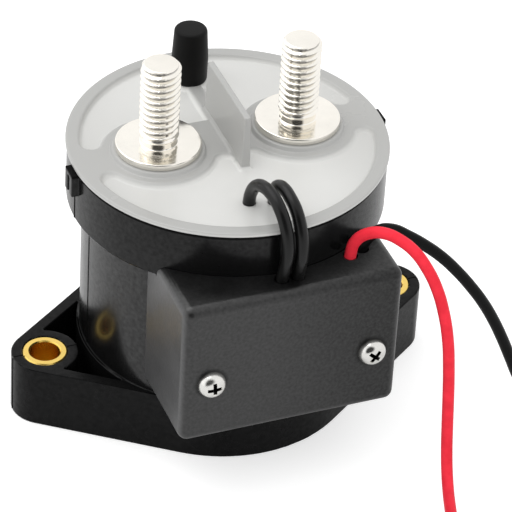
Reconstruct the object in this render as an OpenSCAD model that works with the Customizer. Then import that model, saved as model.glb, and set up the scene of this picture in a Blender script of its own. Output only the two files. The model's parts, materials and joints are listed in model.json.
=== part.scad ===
// High voltage DC contactor: a sealed switching unit in a moulded case with
// two mounting ears, two stud terminals and a coil economizer box on its front.
// Origin: body axis on the base plane. +X along the ears, -Y is the box side.

/* [Housing] */
// Outer radius of the body and of its base
body_r = 28.75; // [28:0.25:33]
// Wall of the body
body_wall = 2.4; // [1.6:0.1:3.2]
// Thickness of the case floor
floor_t = 3; // [2:0.5:5]
// Height of the case up to the terminal cover
case_h = 57.6; // [56:0.2:64]
// How far the top collar stands out from the body
collar_step = 3.2; // [2:0.1:5]
// Height of the top collar
collar_h = 11.75; // [9.5:0.25:13]
// Tangential width of the clip nubs on the collar
nub_w = 4.3; // [3:0.1:6]
// Height of the clip nubs
nub_h = 5; // [3:0.5:8]
// How far the clip nubs stand out from the collar
nub_out = 1.4; // [0.7:0.05:2]

/* [Mounting ears] */
// Distance between the mounting holes
ear_pitch = 75.4; // [72:0.2:84]
// Outer radius of an ear, and of the boss around its hole
ear_r = 6.85; // [6.2:0.05:8]
// Height of the ears
ear_h = 13.75; // [10:0.25:15]
// Wall around the pocket of an ear
ear_wall = 2.5; // [1.5:0.1:3.2]
// Floor under the pocket of an ear
ear_floor = 3; // [2:0.5:6]
// Ledge between the pocket of an ear and the body
ear_ledge = 0.6; // [0.3:0.1:1.2]
// Outer diameter of the mounting bush
bush_od = 9.15; // [8.2:0.05:10]
// Hole of the mounting bush
bush_id = 6.2; // [5.2:0.1:6.6]

/* [Terminal cover] */
// Thickness of the cover's rim above the case
rim_t = 1; // [0.8:0.1:2]
// How far the rim stands out from the collar
rim_over = 0.3; // [0.1:0.05:0.8]
// Width of the raised outer rim
rim_w = 2.7; // [2:0.1:4]
// Depth of the pockets inside the rim
pocket_d = 1; // [0.6:0.1:2]
// Radius of the raised boss around a terminal
boss_r = 11.3; // [10.4:0.1:12.2]
// Rounding of the pocket ends
pocket_end_r = 2.2; // [2.2:0.1:3.2]
// Rounding of the front pocket's ends beside the barrier
pad_end_r = 2.4; // [2:0.1:2.6]
// Rear edge of the raised pad between a boss and the barrier, from the body axis
pad_rear = 7.2; // [4:0.2:9]
// Radius of the raised seat under a terminal flange
seat_r = 9.3; // [9:0.1:10]
// Height of the raised seat
seat_h = 0.9; // [0.4:0.1:1.6]
// Depth of the plug that goes down into the collar
plug_h = 8.6; // [7:0.2:9.2]
// Height of the barrier above the pocket floor
barrier_h = 12.2; // [8:0.2:16]
// Thickness of the barrier at its top
barrier_top = 1.3; // [0.8:0.1:2]
// Thickness of the barrier at its foot
barrier_foot = 2; // [1.6:0.1:3]
// Fillet at the foot of the barrier
barrier_fillet = 0.7; // [0.3:0.1:1.2]
// Front end of the barrier, from the body axis
barrier_front = 10; // [6:0.5:12]
// Rear end of the barrier, from the body axis
barrier_rear = 11; // [10:0.2:14]
// Width of the low strip from the barrier back to the sealing tube
strip_w = 2.7; // [2.3:0.1:3.4]

/* [Terminals] */
// Distance between the studs
stud_pitch = 29.45; // [28:0.05:31]
// Diameter of the studs
stud_d = 8; // [6:0.5:8]
// Height of a stud above its flange
stud_h = 18.2; // [14:0.2:24]
// Diameter of the plain neck under the thread
neck_d = 7.2; // [5:0.1:7.6]
// Height of the plain neck
neck_h = 1.4; // [0.8:0.1:2.4]
// Chamfer on the end of a stud
stud_chamfer = 0.7; // [0.3:0.05:1.2]
// Diameter of the terminal flange
flange_d = 17.15; // [15.4:0.05:17.9]
// Thickness of the terminal flange
flange_t = 1.45; // [1:0.05:2.4]
// Diameter of the terminal's shank inside the cover
shank_d = 10; // [8:0.5:11]
// Length of the shank below the cover
shank_below = 3; // [2.4:0.2:4]
// Diameter of the contact tips
tip_d = 9.2; // [7:0.2:10]
// Thickness of the contact tips
tip_t = 1; // [0.6:0.1:1.6]

/* [Contact set] */
// Gap between the open contacts
contact_gap = 1.4; // [1:0.1:2]
// Further travel of the plunger after the contacts close
overtravel = 0.6; // [0.3:0.1:0.8]
// Width of the moving contact bar
bar_w = 9; // [7.5:0.5:12]
// Thickness of the moving contact bar
bar_t = 3; // [2:0.2:3.6]
// Wall of the arc chamber
chamber_wall = 1.6; // [1.2:0.1:1.6]
// Width of the arc chamber across the bar
chamber_w = 24; // [20:0.5:26]
// Thickness of the arc magnets
magnet_t = 3; // [2:0.2:4]
// Width of the arc magnets
magnet_w = 26; // [18:1:30]
// Height of the arc magnets
magnet_h = 12; // [8:0.5:13]
// Diameter of the contact spring at mid wire
contact_spring_d = 6.6; // [6:0.2:7.4]
// Wire of the contact spring
contact_spring_wire = 0.8; // [0.6:0.1:0.9]

/* [Magnet system] */
// Wall of the steel yoke cup
yoke_wall = 2.2; // [1.5:0.1:3]
// Floor of the steel yoke cup
yoke_floor = 2.5; // [1.5:0.25:3.5]
// Height of the arc chamber between the core plate and the cover
chamber_h = 16; // [15:0.25:20]
// Thickness of the core plate above the coil
core_plate_t = 3; // [2:0.25:3]
// Radius of the plunger and of the fixed core
core_r = 7.9; // [7:0.1:9]
// Wall of the sleeve around the plunger
sleeve_wall = 0.4; // [0.3:0.05:0.8]
// Length of the plunger
plunger_l = 12; // [10:0.25:12.5]
// Diameter of the plunger shaft
shaft_d = 4; // [3.6:0.1:4.6]
// Diameter of the shaft above its shoulder
shaft_top_d = 3.4; // [3:0.1:3.4]
// Diameter of the return spring at mid wire
return_spring_d = 7.6; // [7:0.1:8.2]
// Wire of the return spring
return_spring_wire = 0.9; // [0.7:0.1:1]
// Wall of the bobbin's tube
bobbin_wall = 1.2; // [0.8:0.1:2]
// Thickness of the bobbin's flanges
bobbin_flange = 1.5; // [1:0.1:2.5]

/* [Sealing tube] */
// Distance of the sealing tube from the rear edge of the cover's pocket
tube_in = 7.15; // [6.15:0.05:7.15]
// Outer diameter of the sealing tube
tube_od = 4; // [3:0.1:4.4]
// Height of the sealing tube above the cover's pocket
tube_h = 10; // [6:0.5:10.5]
// Outer diameter of the rubber cap at its foot
cap_foot_d = 7.3; // [6.4:0.1:7.6]
// Outer diameter of the rubber cap at its top
cap_top_d = 6.7; // [5.8:0.1:7]
// Height of the rubber cap
cap_h = 11.9; // [11.3:0.1:14]

/* [Economizer box] */
// Width of the box
box_w = 45.5; // [43.5:0.5:48]
// How far the box front stands out from the body
box_front = 10; // [9.5:0.25:13]
// Height of the box bottom above the base
box_low = 16; // [15.2:0.1:18]
// Height of the box
box_h = 32.3; // [30:0.1:34]
// Wall of the box
box_wall = 1.8; // [1.2:0.1:2.2]
// Rounding of the box edges
box_edge = 1.6; // [0.8:0.1:2]
// Distance of the box screws from the sides of the box
screw_inset = 5.95; // [5.8:0.05:7]
// Height of the box screws above the base
screw_z = 29.9; // [26:0.1:34]
// Thread diameter of the box screws
screw_d = 3; // [2.5:0.1:3.2]
// Head diameter of the box screws
head_d = 5.6; // [5:0.1:6]
// Head height of the box screws
head_h = 2; // [1.4:0.1:2.4]
// Length of the box screws under the head
screw_l = 9; // [7:0.5:10]
// Radius of the posts that take the screws
post_r = 3; // [2.6:0.1:3.4]
// Gap between the circuit board and the posts
board_gap = 1.8; // [1.5:0.1:4]
// Height of the circuit board
board_h = 22; // [20:0.5:24]
// Thickness of the circuit board
board_t = 1.6; // [1:0.1:1.6]
// Height of the stand-offs under the circuit board
standoff_h = 1.6; // [1:0.1:2]

/* [Wires] */
// Diameter of all wires over their insulation
wire_d = 2.4; // [2:0.1:2.6]
// Diameter of the bare strands of a wire
strand_d = 1.4; // [0.8:0.1:1.6]
// Length of the bare end of a lead
strip_l = 7; // [4:0.5:10]
// Radius of the innermost turn of a coiled lead
hank_in = 9.8; // [9.6:0.1:11]
// Distance between the turns of a coiled lead
hank_pitch = 2.5; // [2.4:0.05:2.7]

/* [Fits] */
// Clearance of pieces that are put together and stay there
fit_gap = 0.15; // [0.1:0.01:0.2]
// Radial clearance of the sliding shaft
slide_gap = 0.05; // [0.02:0.01:0.08]
// Clearance around the moving plunger and contact bar
move_gap = 0.3; // [0.3:0.05:0.6]

/* [Hidden] */

// Round faces are true curves at this count, and a cut runs past its wall by cut
$fn = 96;
cut = 1;

// Housing levels and radii
cavity_r = body_r - body_wall;
collar_r = body_r + collar_step;
collar_z = case_h - collar_h;
ear_x = ear_pitch / 2;
bush_r = bush_od / 2;
nub_root = 1.5;
nub_drop = 0.1;
nub_groove_w = 0.8;
nub_groove_d = 0.6;
nub_roof = 1;

// Terminal cover levels and radii
rim_r = collar_r + rim_over;
rim_top = case_h + rim_t;
rim_round = 0.35;
pocket_r = rim_r - rim_w;
pocket_z = rim_top - pocket_d;
seat_z = rim_top + seat_h;
ledge_z = case_h - plug_h;
plug_wall = 2.75;
bridge_min = 0.3;
pad_lap = 0.4;
tube_y = pocket_r - tube_in;
cap_over = 0.15;
tube_boss_r = cap_foot_d / 2 - cap_over;
plug_r = collar_r - plug_wall - fit_gap;

// Terminal levels
stud_x = stud_pitch / 2;
flange_z = seat_z + flange_t;
shank_z = ledge_z - shank_below;
tip_z = shank_z - tip_t;
stud_top = flange_z + stud_h;

// Magnet system levels, between the case floor and the arc chamber
travel = contact_gap + overtravel;
yoke_r = cavity_r - fit_gap;
coil_z = floor_t + yoke_floor;
chamber_z = ledge_z - chamber_h;
core_plate_z = chamber_z - core_plate_t;
coil_h = core_plate_z - coil_z;
plunger_z = coil_z + sleeve_wall;
plunger_top = plunger_z + plunger_l;
core_z = plunger_top + travel;
sleeve_in = core_r + move_gap;
sleeve_out = sleeve_in + sleeve_wall;
bobbin_in = sleeve_out + fit_gap;
bobbin_tube = bobbin_in + bobbin_wall;
bobbin_out = yoke_r - yoke_wall - fit_gap;
winding_margin = 1.2;
core_step = 2;
core_spigot_r = core_r - core_step;
spring_pocket_d = 5;
spring_pocket_r = return_spring_d / 2 + return_spring_wire / 2 + move_gap;
shaft_r = shaft_d / 2;
shaft_top_r = shaft_top_d / 2;
shaft_in_plunger = 10;

// Contact set levels, from the contact tips down
bar_top = tip_z - contact_gap;
bar_z = bar_top - bar_t;
bar_short = 0.3;
bar_l = stud_pitch + tip_d - bar_short;
bush_flange_t = 0.8;
bush_proud = 0.3;
insulator_wall = 1.05;
insulator_r = shaft_top_r + slide_gap + insulator_wall;
clip_t = 0.8;
clip_r = 3.4;
clip_bite = 0.35;
clip_z = bar_top + bush_proud;
shaft_tail = 0.4;
shaft_end = clip_z + clip_t + shaft_tail;
shoulder_h = 1;
shoulder_z = chamber_z + shoulder_h;
seat_washer_t = 0.8;
washer_rim = 0.4;
washer_r = contact_spring_d / 2 + contact_spring_wire / 2 + washer_rim;
chamber_room = 2.5;
chamber_l = bar_l + chamber_room + 2 * chamber_wall;
chamber_corner = 3;

// Economizer box levels, and the board that fits between its posts
box_face = body_r + box_front;
box_back = box_face - box_wall;
box_top = box_low + box_h;
screw_x = box_w / 2 - screw_inset;
board_w = 2 * (screw_x - post_r - board_gap);
standoff_r = 1.5;
stake_r = 0.75;
stake_proud = 0.4;
board_y = -box_back + standoff_h;
board_rise = 0.85;
board_z = box_low + box_h / 2 + board_rise;
board_inset = 2.4;
component_inset = 3.5;
transistor_size = [6.4, 2.2, 6];
controller_size = [5, 1.5, 4];
diode_size = [4.3, 2, 2.6];
diode_pitch = 6;
capacitor_r = 1.5;
capacitor_l = 6.5;
row_high = 2;
row_mid = 3.2;
row_low = 5;

// Where the wires leave the cover and the box, which their routes start from
function moved(route, shift) = [for (p = route) p + shift];
cover_front = [0, -body_r, case_h];
box_mouth = [0, -box_face, box_top];
box_corner = [box_w / 2, -box_face, box_top];

// Routes of the wires: points chosen along each wire's middle line
coil_route_left = concat(
  moved([
    [-3.3, 8.25, -2.6], [-3.3, 8.25, 0.4], [-3.2, 7.65, 3], [-2.9, 5.75, 5.7], [-2.5, 2.95, 7.1],
    [-2, -0.15, 7.1], [-1.6, -2.95, 5.9], [-1.2, -5.25, 3.4], [-1, -6.45, 0.4], [-1, -6.75, -2.6]
  ], cover_front),
  moved([[-1.2, 3.85, 3.2], [-1.3, 4.45, 0.2], [-1.3, 4.65, -2.8]], box_mouth)
);
coil_route_right = concat(
  moved([
    [1.4, 6.95, -2.6], [1.4, 6.95, 0.4], [1.2, 6.55, 3], [1, 4.55, 5.6], [1.1, 1.75, 6.8],
    [1.3, -0.95, 6.5], [1.6, -3.55, 5.2], [1.8, -5.65, 2.6], [1.9, -6.75, -0.4], [1.9, -6.95, -3.4]
  ], cover_front),
  moved([[1.9, 3.75, 2.7], [1.9, 4.35, 0], [1.9, 4.55, -2.8]], box_mouth)
);
lead_route_red = concat(
  moved([
    [-8.45, 7.75, -2.8], [-8.45, 7.75, 0.3], [-7.85, 7.25, 3.7], [-5.85, 5.65, 6.3], [-3.35, 3.65, 7.1],
    [-0.85, 1.55, 6.3], [1.45, -0.35, 4.4], [3.45, -2.05, 1.3], [5.25, -3.55, -2.9]
  ], box_corner),
  [
    [29.4, -43.5, 40.1], [30.5, -44.4, 33.5], [31.1, -44.9, 26.3], [31.4, -45.3, 19.5],
    [31.5, -45.9, 13], [31.4, -46.9, 7.6], [30.9, -49, 3.4], [29.9, -52.2, 1.6],
    [28.6, -56, 1.3], [26.8, -61.5, 1.3], [24.8, -67.5, 1.5], [23.4, -73, 1.7]
  ]
);
lead_route_black = concat(
  moved([
    [-5.55, 9.15, -2.8], [-5.55, 9.15, 0.1], [-4.35, 9.15, 2.3], [-2.05, 9.15, 3.7], [0.65, 9.05, 3.4],
    [3.95, 8.45, 1.5], [7.95, 7.75, -1.5]
  ], box_corner),
  [
    [34, -31.6, 43.8], [37.4, -32.2, 39.9], [40.4, -32.7, 35.9], [43.1, -33.2, 31.8],
    [45.6, -33.6, 27.2], [47.8, -34, 22.4], [49.9, -34.5, 17.2], [52, -34.9, 12],
    [54.5, -35.3, 7], [57.8, -35.7, 3.2], [61.5, -35.9, 1.6]
  ]
);

// Coiled rest of each lead: turns, middle of the flat coil, where the lead comes in,
// and which way it runs inwards from there, 1 for counter-clockwise
hank_turns_red = 3.25;
hank_turns_black = 3.25;
hank_middle_red = [39.5, -83.5];
hank_middle_black = [66.5, -53.5];
hank_entry_red = 162;
hank_entry_black = 80;
hank_run_red = 1;
hank_run_black = -1;
tie_t = 0.6;
tie_w = 2.5;
tie_gap = 0.05;
hank_z = tie_t + tie_gap + wire_d / 2;
tie_turn_red = 340;
tie_turn_black = 15;
end_turn_red = hank_entry_red + hank_run_red * 360 * hank_turns_red;
end_turn_black = hank_entry_black + hank_run_black * 360 * hank_turns_black;
end_slant = 60;

black_plastic = [0.13, 0.13, 0.13];
grey_plastic = [0.78, 0.79, 0.78];
plated = [0.86, 0.86, 0.85];
steel = [0.6, 0.61, 0.63];
copper = [0.78, 0.48, 0.33];
brass = [0.88, 0.72, 0.32];
red = [0.88, 0.08, 0.12];
ceramic_white = [0.9, 0.88, 0.84];

// Helpers for outlines

// Rectangle with round corners, centred
module round_rect(w, h, r) {
  square([w - 2 * r, h], center = true);
  square([w, h - 2 * r], center = true);
  for (x = [-1, 1], y = [-1, 1])
    translate([x * (w / 2 - r), y * (h / 2 - r)]) circle(r);
}

// Direction of the straight flank that joins the base to an ear
function flank_angle(base_r, end_r) = acos((base_r - end_r) / ear_x);
function on_circle(x, r, a) = [x + r * cos(a), r * sin(a)];

// Flanks of one ear, from the base circle to the circle at its end
module ear_web(base_r, end_r) {
  a = flank_angle(base_r, end_r);
  polygon([
    on_circle(0, base_r, a), on_circle(0, base_r, -a),
    on_circle(ear_x, end_r, -a), on_circle(ear_x, end_r, a)
  ]);
}

// A step away along a direction given by an angle
module at_turn(middle, turn) {
  translate([middle[0], middle[1], 0]) rotate(turn) children();
}

// Helpers for wires and springs

function unit(v) = v / norm(v);
function last_of(list) = list[len(list) - 1];
function run_of(path, i) = unit(path[min(i + 1, len(path) - 1)] - path[max(i - 1, 0)]);
function square_to(side, run) = unit(side - run * (side * run));
function carried(path, i, side) =
  i == len(path) ? [] : let (s = square_to(side, run_of(path, i))) concat([s], carried(path, i + 1, s));

// Round tube along a path, with flat ends
module tube(path, d, sides) {
  n = len(path);
  across = carried(path, 0, [0.7, 0.7, 0.14]);
  points = [
    for (i = [0:n - 1], k = [0:sides - 1])
      path[i] + d / 2 * (across[i] * cos(360 * k / sides)
        + cross(run_of(path, i), across[i]) * sin(360 * k / sides))
  ];
  walls = [
    for (i = [0:n - 2], k = [0:sides - 1])
      let (a = i * sides + k, b = i * sides + (k + 1) % sides)
        [a, a + sides, b + sides, b]
  ];
  ends = [[for (k = [0:sides - 1]) k], [for (k = [sides - 1:-1:0]) (n - 1) * sides + k]];
  polyhedron(points = points, faces = concat(ends, walls), convexity = 10);
}

// Compression spring between two levels, its wire ends just inside them
module spring(low, high, mid_d, wire, turns) {
  steps = 14;
  rise = high - low - wire;
  path = [
    for (i = [0:turns * steps])
      let (t = i / (turns * steps))
        [mid_d / 2 * cos(360 * turns * t), mid_d / 2 * sin(360 * turns * t), low + wire / 2 + rise * t]
  ];
  tube(path, wire, 8);
}

function hank_out(turns) = hank_in + turns * hank_pitch;
function hank_entry(middle, turns, a) =
  [middle[0] + hank_out(turns) * cos(a), middle[1] + hank_out(turns) * sin(a), hank_z];

// Case with ears

module housing_solid() {
  linear_extrude(ear_h) {
    circle(body_r);
    for (side = [0, 180])
      rotate(side) {
        ear_web(body_r, ear_r);
        translate([ear_x, 0]) circle(ear_r);
      }
  }
  cylinder(r = body_r, h = case_h);
  translate([0, 0, collar_z]) cylinder(r = collar_r, h = collar_h);
  for (side = [0, 180]) rotate(side) clip_nub();
  for (side = [-1, 1]) screw_post(side);
}

module clip_nub() {
  translate([collar_r - nub_root, -nub_w / 2, case_h - nub_drop - nub_h])
    difference() {
      cube([nub_root + nub_out, nub_w, nub_h]);
      translate([nub_root + nub_out - nub_groove_d, (nub_w - nub_groove_w) / 2, -cut])
        cube([nub_groove_d + cut, nub_groove_w, nub_h - nub_roof + cut]);
    }
}

module screw_post(side) {
  translate([side * screw_x, -box_back + fit_gap, screw_z]) rotate([-90, 0, 0])
    cylinder(r = post_r, h = box_back - fit_gap);
}

module ear_pocket() {
  translate([0, 0, ear_floor]) linear_extrude(ear_h)
    difference() {
      ear_web(body_r - ear_wall, ear_r - ear_wall);
      circle(body_r + ear_ledge);
      translate([ear_x, 0]) circle(ear_r);
    }
}

module screw_pilot(side) {
  translate([side * screw_x, -box_face, screw_z]) rotate([-90, 0, 0])
    cylinder(d = screw_d + 2 * slide_gap, h = screw_l + cut);
}

module housing() {
  color(black_plastic) difference() {
    housing_solid();
    translate([0, 0, floor_t]) cylinder(r = cavity_r, h = case_h);
    translate([0, 0, ledge_z]) cylinder(r = plug_r + fit_gap, h = plug_h + cut);
    for (side = [0, 180])
      rotate(side) {
        ear_pocket();
        translate([ear_x, 0, -cut]) cylinder(r = bush_r + slide_gap, h = ear_h + 2 * cut);
      }
    for (side = [-1, 1]) screw_pilot(side);
  }
}

module mounting_bush(side) {
  color(brass) translate([side * ear_x, 0, 0]) difference() {
    cylinder(r = bush_r, h = ear_h);
    translate([0, 0, -cut]) cylinder(d = bush_id, h = ear_h + 2 * cut);
  }
}
module mounting_bush_left() { mounting_bush(-1); }
module mounting_bush_right() { mounting_bush(1); }

// Terminal cover

// Middle of the rounding where a pocket ends between a boss and the rim
pocket_end = max(pocket_end_r, (pocket_r - stud_x - boss_r) / 2 + bridge_min);
pocket_far = pocket_r - pocket_end;
pocket_near = boss_r + pocket_end;
pocket_end_x = (pocket_far * pocket_far - pocket_near * pocket_near + stud_x * stud_x) / (2 * stud_x);
pocket_end_y = sqrt(pocket_far * pocket_far - pocket_end_x * pocket_end_x);

// Middle of the rounding where the front pocket ends between a boss and the barrier
pad_near = barrier_foot / 2 - pad_lap;
pad_end = max(pad_end_r, (stud_x - boss_r - pad_near) / 2 + bridge_min);
pad_end_x = pad_near + pad_end;
pad_end_y = -sqrt(pow(boss_r + pad_end, 2) - pow(stud_x - pad_end_x, 2));

module pocket_outline() {
  difference() {
    circle(pocket_r);
    for (side = [-1, 1]) {
      translate([side * stud_x, 0]) circle(boss_r);
      polygon([
        [side * stud_x, 0], [side * pocket_end_x, pocket_end_y],
        [side * pocket_end_x, pocket_end_y] * pocket_r / pocket_far, [side * rim_r, 0],
        [side * pocket_end_x, -pocket_end_y] * pocket_r / pocket_far,
        [side * pocket_end_x, -pocket_end_y]
      ]);
      polygon([
        [0, pad_end_y], [side * pad_end_x, pad_end_y], [side * stud_x, 0],
        [side * stud_x, pad_rear], [0, pad_rear]
      ]);
    }
    translate([-strip_w / 2, 0]) square([strip_w, tube_y]);
    translate([0, tube_y]) circle(tube_boss_r);
  }
  for (x = [-1, 1]) {
    translate([x * pad_end_x, pad_end_y]) circle(pad_end);
    for (y = [-1, 1])
      translate([x * pocket_end_x, y * pocket_end_y]) circle(pocket_end);
  }
}

// Section of the barrier: a tapered wall with a fillet on each side of its foot
module barrier_section() {
  polygon([
    [-barrier_foot / 2, -pocket_d / 2], [barrier_foot / 2, -pocket_d / 2],
    [barrier_top / 2, barrier_h], [-barrier_top / 2, barrier_h]
  ]);
  for (side = [-1, 1])
    translate([side * barrier_foot / 2, 0]) difference() {
      translate([-barrier_fillet, -pocket_d / 2])
        square([2 * barrier_fillet, barrier_fillet + pocket_d / 2]);
      translate([side * barrier_fillet, barrier_fillet]) circle(barrier_fillet);
    }
}

module terminal_cover() {
  color(grey_plastic) difference() {
    union() {
      difference() {
        cover_disc();
        translate([0, 0, pocket_z]) linear_extrude(pocket_d + cut) pocket_outline();
      }
      for (side = [-1, 1])
        translate([side * stud_x, 0, pocket_z]) cylinder(r = seat_r, h = seat_z - pocket_z);
      translate([0, barrier_rear, pocket_z]) rotate([90, 0, 0])
        linear_extrude(barrier_rear + barrier_front) barrier_section();
    }
    for (side = [-1, 1])
      translate([side * stud_x, 0, ledge_z - cut])
        cylinder(d = shank_d + 2 * slide_gap, h = seat_z - ledge_z + 2 * cut);
    translate([0, tube_y, ledge_z - cut]) cylinder(d = tube_od + 2 * slide_gap, h = plug_h + 2 * cut);
    for (route = [coil_route_left, coil_route_right])
      translate([route[0][0], route[0][1], route[0][2] - slide_gap])
        cylinder(d = wire_d + 2 * slide_gap, h = rim_top);
  }
}

// Turned form of the cover: plug below, rim with round edges above
module cover_disc() {
  rotate_extrude() {
    translate([0, ledge_z]) square([plug_r, rim_top - ledge_z]);
    translate([0, case_h]) square([rim_r - rim_round, rim_t]);
    translate([0, case_h + rim_round]) square([rim_r, rim_t - 2 * rim_round]);
    for (z = [case_h + rim_round, rim_top - rim_round])
      translate([rim_r - rim_round, z]) circle(rim_round);
  }
}

// Terminals

module stud(side) {
  edge = 0.25;
  color(plated) translate([side * stud_x, 0, 0]) rotate_extrude()
    polygon([
      [0, shank_z], [shank_d / 2, shank_z], [shank_d / 2, seat_z],
      [flange_d / 2, seat_z], [flange_d / 2, flange_z - edge], [flange_d / 2 - edge, flange_z],
      [neck_d / 2, flange_z], [neck_d / 2, flange_z + neck_h],
      [stud_d / 2, flange_z + neck_h + (stud_d - neck_d) / 2],
      [stud_d / 2, stud_top - stud_chamfer], [stud_d / 2 - stud_chamfer, stud_top], [0, stud_top]
    ]);
}
module stud_left() { stud(-1); }
module stud_right() { stud(1); }

module contact_tip(side) {
  color(plated) translate([side * stud_x, 0, tip_z]) cylinder(d = tip_d, h = tip_t);
}
module contact_tip_left() { contact_tip(-1); }
module contact_tip_right() { contact_tip(1); }

// Arc chamber and its magnets

// Outline of the chamber less a wall, kept inside the case
module chamber_outline(wall) {
  intersection() {
    round_rect(chamber_l - 2 * wall, chamber_w - 2 * wall, chamber_corner - wall);
    circle(cavity_r - fit_gap - wall);
  }
}

module arc_chamber() {
  color(ceramic_white) difference() {
    translate([0, 0, chamber_z]) linear_extrude(chamber_h) chamber_outline(0);
    translate([0, 0, chamber_z - cut]) linear_extrude(chamber_h + cut - chamber_wall)
      chamber_outline(chamber_wall);
    for (side = [-1, 1])
      translate([side * stud_x, 0, chamber_z]) cylinder(d = shank_d + 2 * fit_gap, h = ledge_z);
    translate([0, 0, chamber_z]) cylinder(r = clip_r + move_gap, h = ledge_z);
  }
}

module arc_magnet(side) {
  color(steel) translate([-magnet_w / 2, side * (chamber_w / 2 + magnet_t / 2) - magnet_t / 2, chamber_z])
    cube([magnet_w, magnet_t, magnet_h]);
}
module arc_magnet_front() { arc_magnet(-1); }
module arc_magnet_rear() { arc_magnet(1); }

// Moving contact set

module moving_contact() {
  color(copper) translate([0, 0, bar_z]) linear_extrude(bar_t) difference() {
    round_rect(bar_l, bar_w, bar_w / 3);
    circle(insulator_r + slide_gap);
  }
}

module contact_bush() {
  color(black_plastic) translate([0, 0, bar_z]) difference() {
    union() {
      translate([0, 0, -bush_flange_t]) cylinder(r = washer_r, h = bush_flange_t);
      cylinder(r = insulator_r, h = bar_t + bush_proud);
    }
    translate([0, 0, -bush_flange_t - cut])
      cylinder(r = shaft_top_r + slide_gap, h = bush_flange_t + bar_t + bush_proud + 2 * cut);
  }
}

module contact_spring() {
  color(steel) spring(shoulder_z + seat_washer_t, bar_z - bush_flange_t,
    contact_spring_d, contact_spring_wire, 4);
}

module spring_seat() {
  color(steel) translate([0, 0, shoulder_z]) difference() {
    cylinder(r = washer_r, h = seat_washer_t);
    translate([0, 0, -cut]) cylinder(r = shaft_top_r + slide_gap, h = seat_washer_t + 2 * cut);
  }
}

// Retaining clip with its open side towards the front
module retaining_clip() {
  grip = shaft_top_r - clip_bite + slide_gap;
  color(steel) translate([0, 0, clip_z]) linear_extrude(clip_t) difference() {
    circle(clip_r);
    circle(grip);
    translate([-grip, -clip_r - cut]) square([2 * grip, clip_r + cut]);
  }
}

module plunger_shaft() {
  groove_r = shaft_top_r - clip_bite;
  groove_top = clip_z + clip_t + slide_gap;
  color(steel) rotate_extrude() polygon([
    [0, plunger_top - shaft_in_plunger], [shaft_r, plunger_top - shaft_in_plunger],
    [shaft_r, shoulder_z], [shaft_top_r, shoulder_z], [shaft_top_r, clip_z],
    [groove_r, clip_z], [groove_r, groove_top], [shaft_top_r, groove_top],
    [shaft_top_r, shaft_end], [0, shaft_end]
  ]);
}

module plunger() {
  color(steel) difference() {
    translate([0, 0, plunger_z]) cylinder(r = core_r, h = plunger_l);
    translate([0, 0, plunger_top - spring_pocket_d]) cylinder(r = spring_pocket_r, h = spring_pocket_d + cut);
    translate([0, 0, plunger_top - shaft_in_plunger]) cylinder(r = shaft_r + slide_gap, h = plunger_l);
  }
}

module return_spring() {
  color(steel) spring(plunger_top - spring_pocket_d, core_z,
    return_spring_d, return_spring_wire, 5);
}

// Fixed magnet system and coil

module fixed_core() {
  color(steel) difference() {
    union() {
      translate([0, 0, core_z]) cylinder(r = core_r, h = core_plate_z - core_z);
      translate([0, 0, core_z]) cylinder(r = core_spigot_r, h = chamber_z - core_z);
    }
    translate([0, 0, core_z - cut]) cylinder(r = shaft_r + slide_gap, h = chamber_z - core_z + 2 * cut);
  }
}

module core_plate() {
  color(steel) translate([0, 0, core_plate_z]) difference() {
    cylinder(r = yoke_r, h = core_plate_t);
    translate([0, 0, -cut]) cylinder(r = core_spigot_r + slide_gap, h = core_plate_t + 2 * cut);
  }
}

module plunger_sleeve() {
  color(plated) translate([0, 0, coil_z]) difference() {
    cylinder(r = sleeve_out, h = coil_h);
    translate([0, 0, sleeve_wall]) cylinder(r = sleeve_in, h = coil_h);
  }
}

module coil_bobbin() {
  color(black_plastic) translate([0, 0, coil_z]) difference() {
    union() {
      cylinder(r = bobbin_tube, h = coil_h);
      for (z = [0, coil_h - bobbin_flange])
        translate([0, 0, z]) cylinder(r = bobbin_out, h = bobbin_flange);
    }
    translate([0, 0, -cut]) cylinder(r = bobbin_in, h = coil_h + 2 * cut);
  }
}

module coil_winding() {
  color(copper) translate([0, 0, coil_z + bobbin_flange]) difference() {
    cylinder(r = bobbin_out - winding_margin, h = coil_h - 2 * bobbin_flange);
    translate([0, 0, -cut]) cylinder(r = bobbin_tube + slide_gap, h = coil_h);
  }
}

module yoke_cup() {
  color(steel) translate([0, 0, floor_t]) difference() {
    cylinder(r = yoke_r, h = yoke_floor + coil_h);
    translate([0, 0, yoke_floor]) cylinder(r = yoke_r - yoke_wall, h = coil_h + cut);
  }
}

// Sealing tube and its rubber cap

module seal_tube() {
  color(copper) translate([0, tube_y, ledge_z]) difference() {
    cylinder(d = tube_od, h = pocket_z + tube_h - ledge_z);
    translate([0, 0, -cut]) cylinder(d = tube_od / 2, h = plug_h);
  }
}

module tube_cap() {
  round_r = 0.8;
  waist_share = 0.4;
  waist_swell = 0.2;
  waist_h = waist_share * cap_h;
  mid_d = cap_foot_d + waist_swell;
  bore_h = tube_h - pocket_d + fit_gap;
  color(black_plastic) translate([0, tube_y, rim_top]) difference() {
    rotate_extrude() {
      polygon([
        [0, 0], [cap_foot_d / 2, 0], [mid_d / 2, waist_h],
        [cap_top_d / 2, cap_h - round_r], [cap_top_d / 2 - round_r, cap_h], [0, cap_h]
      ]);
      translate([cap_top_d / 2 - round_r, cap_h - round_r]) circle(round_r);
    }
    translate([0, 0, -cut]) cylinder(d = tube_od + 2 * slide_gap, h = bore_h + cut);
  }
}

// Economizer box and what it holds

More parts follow.
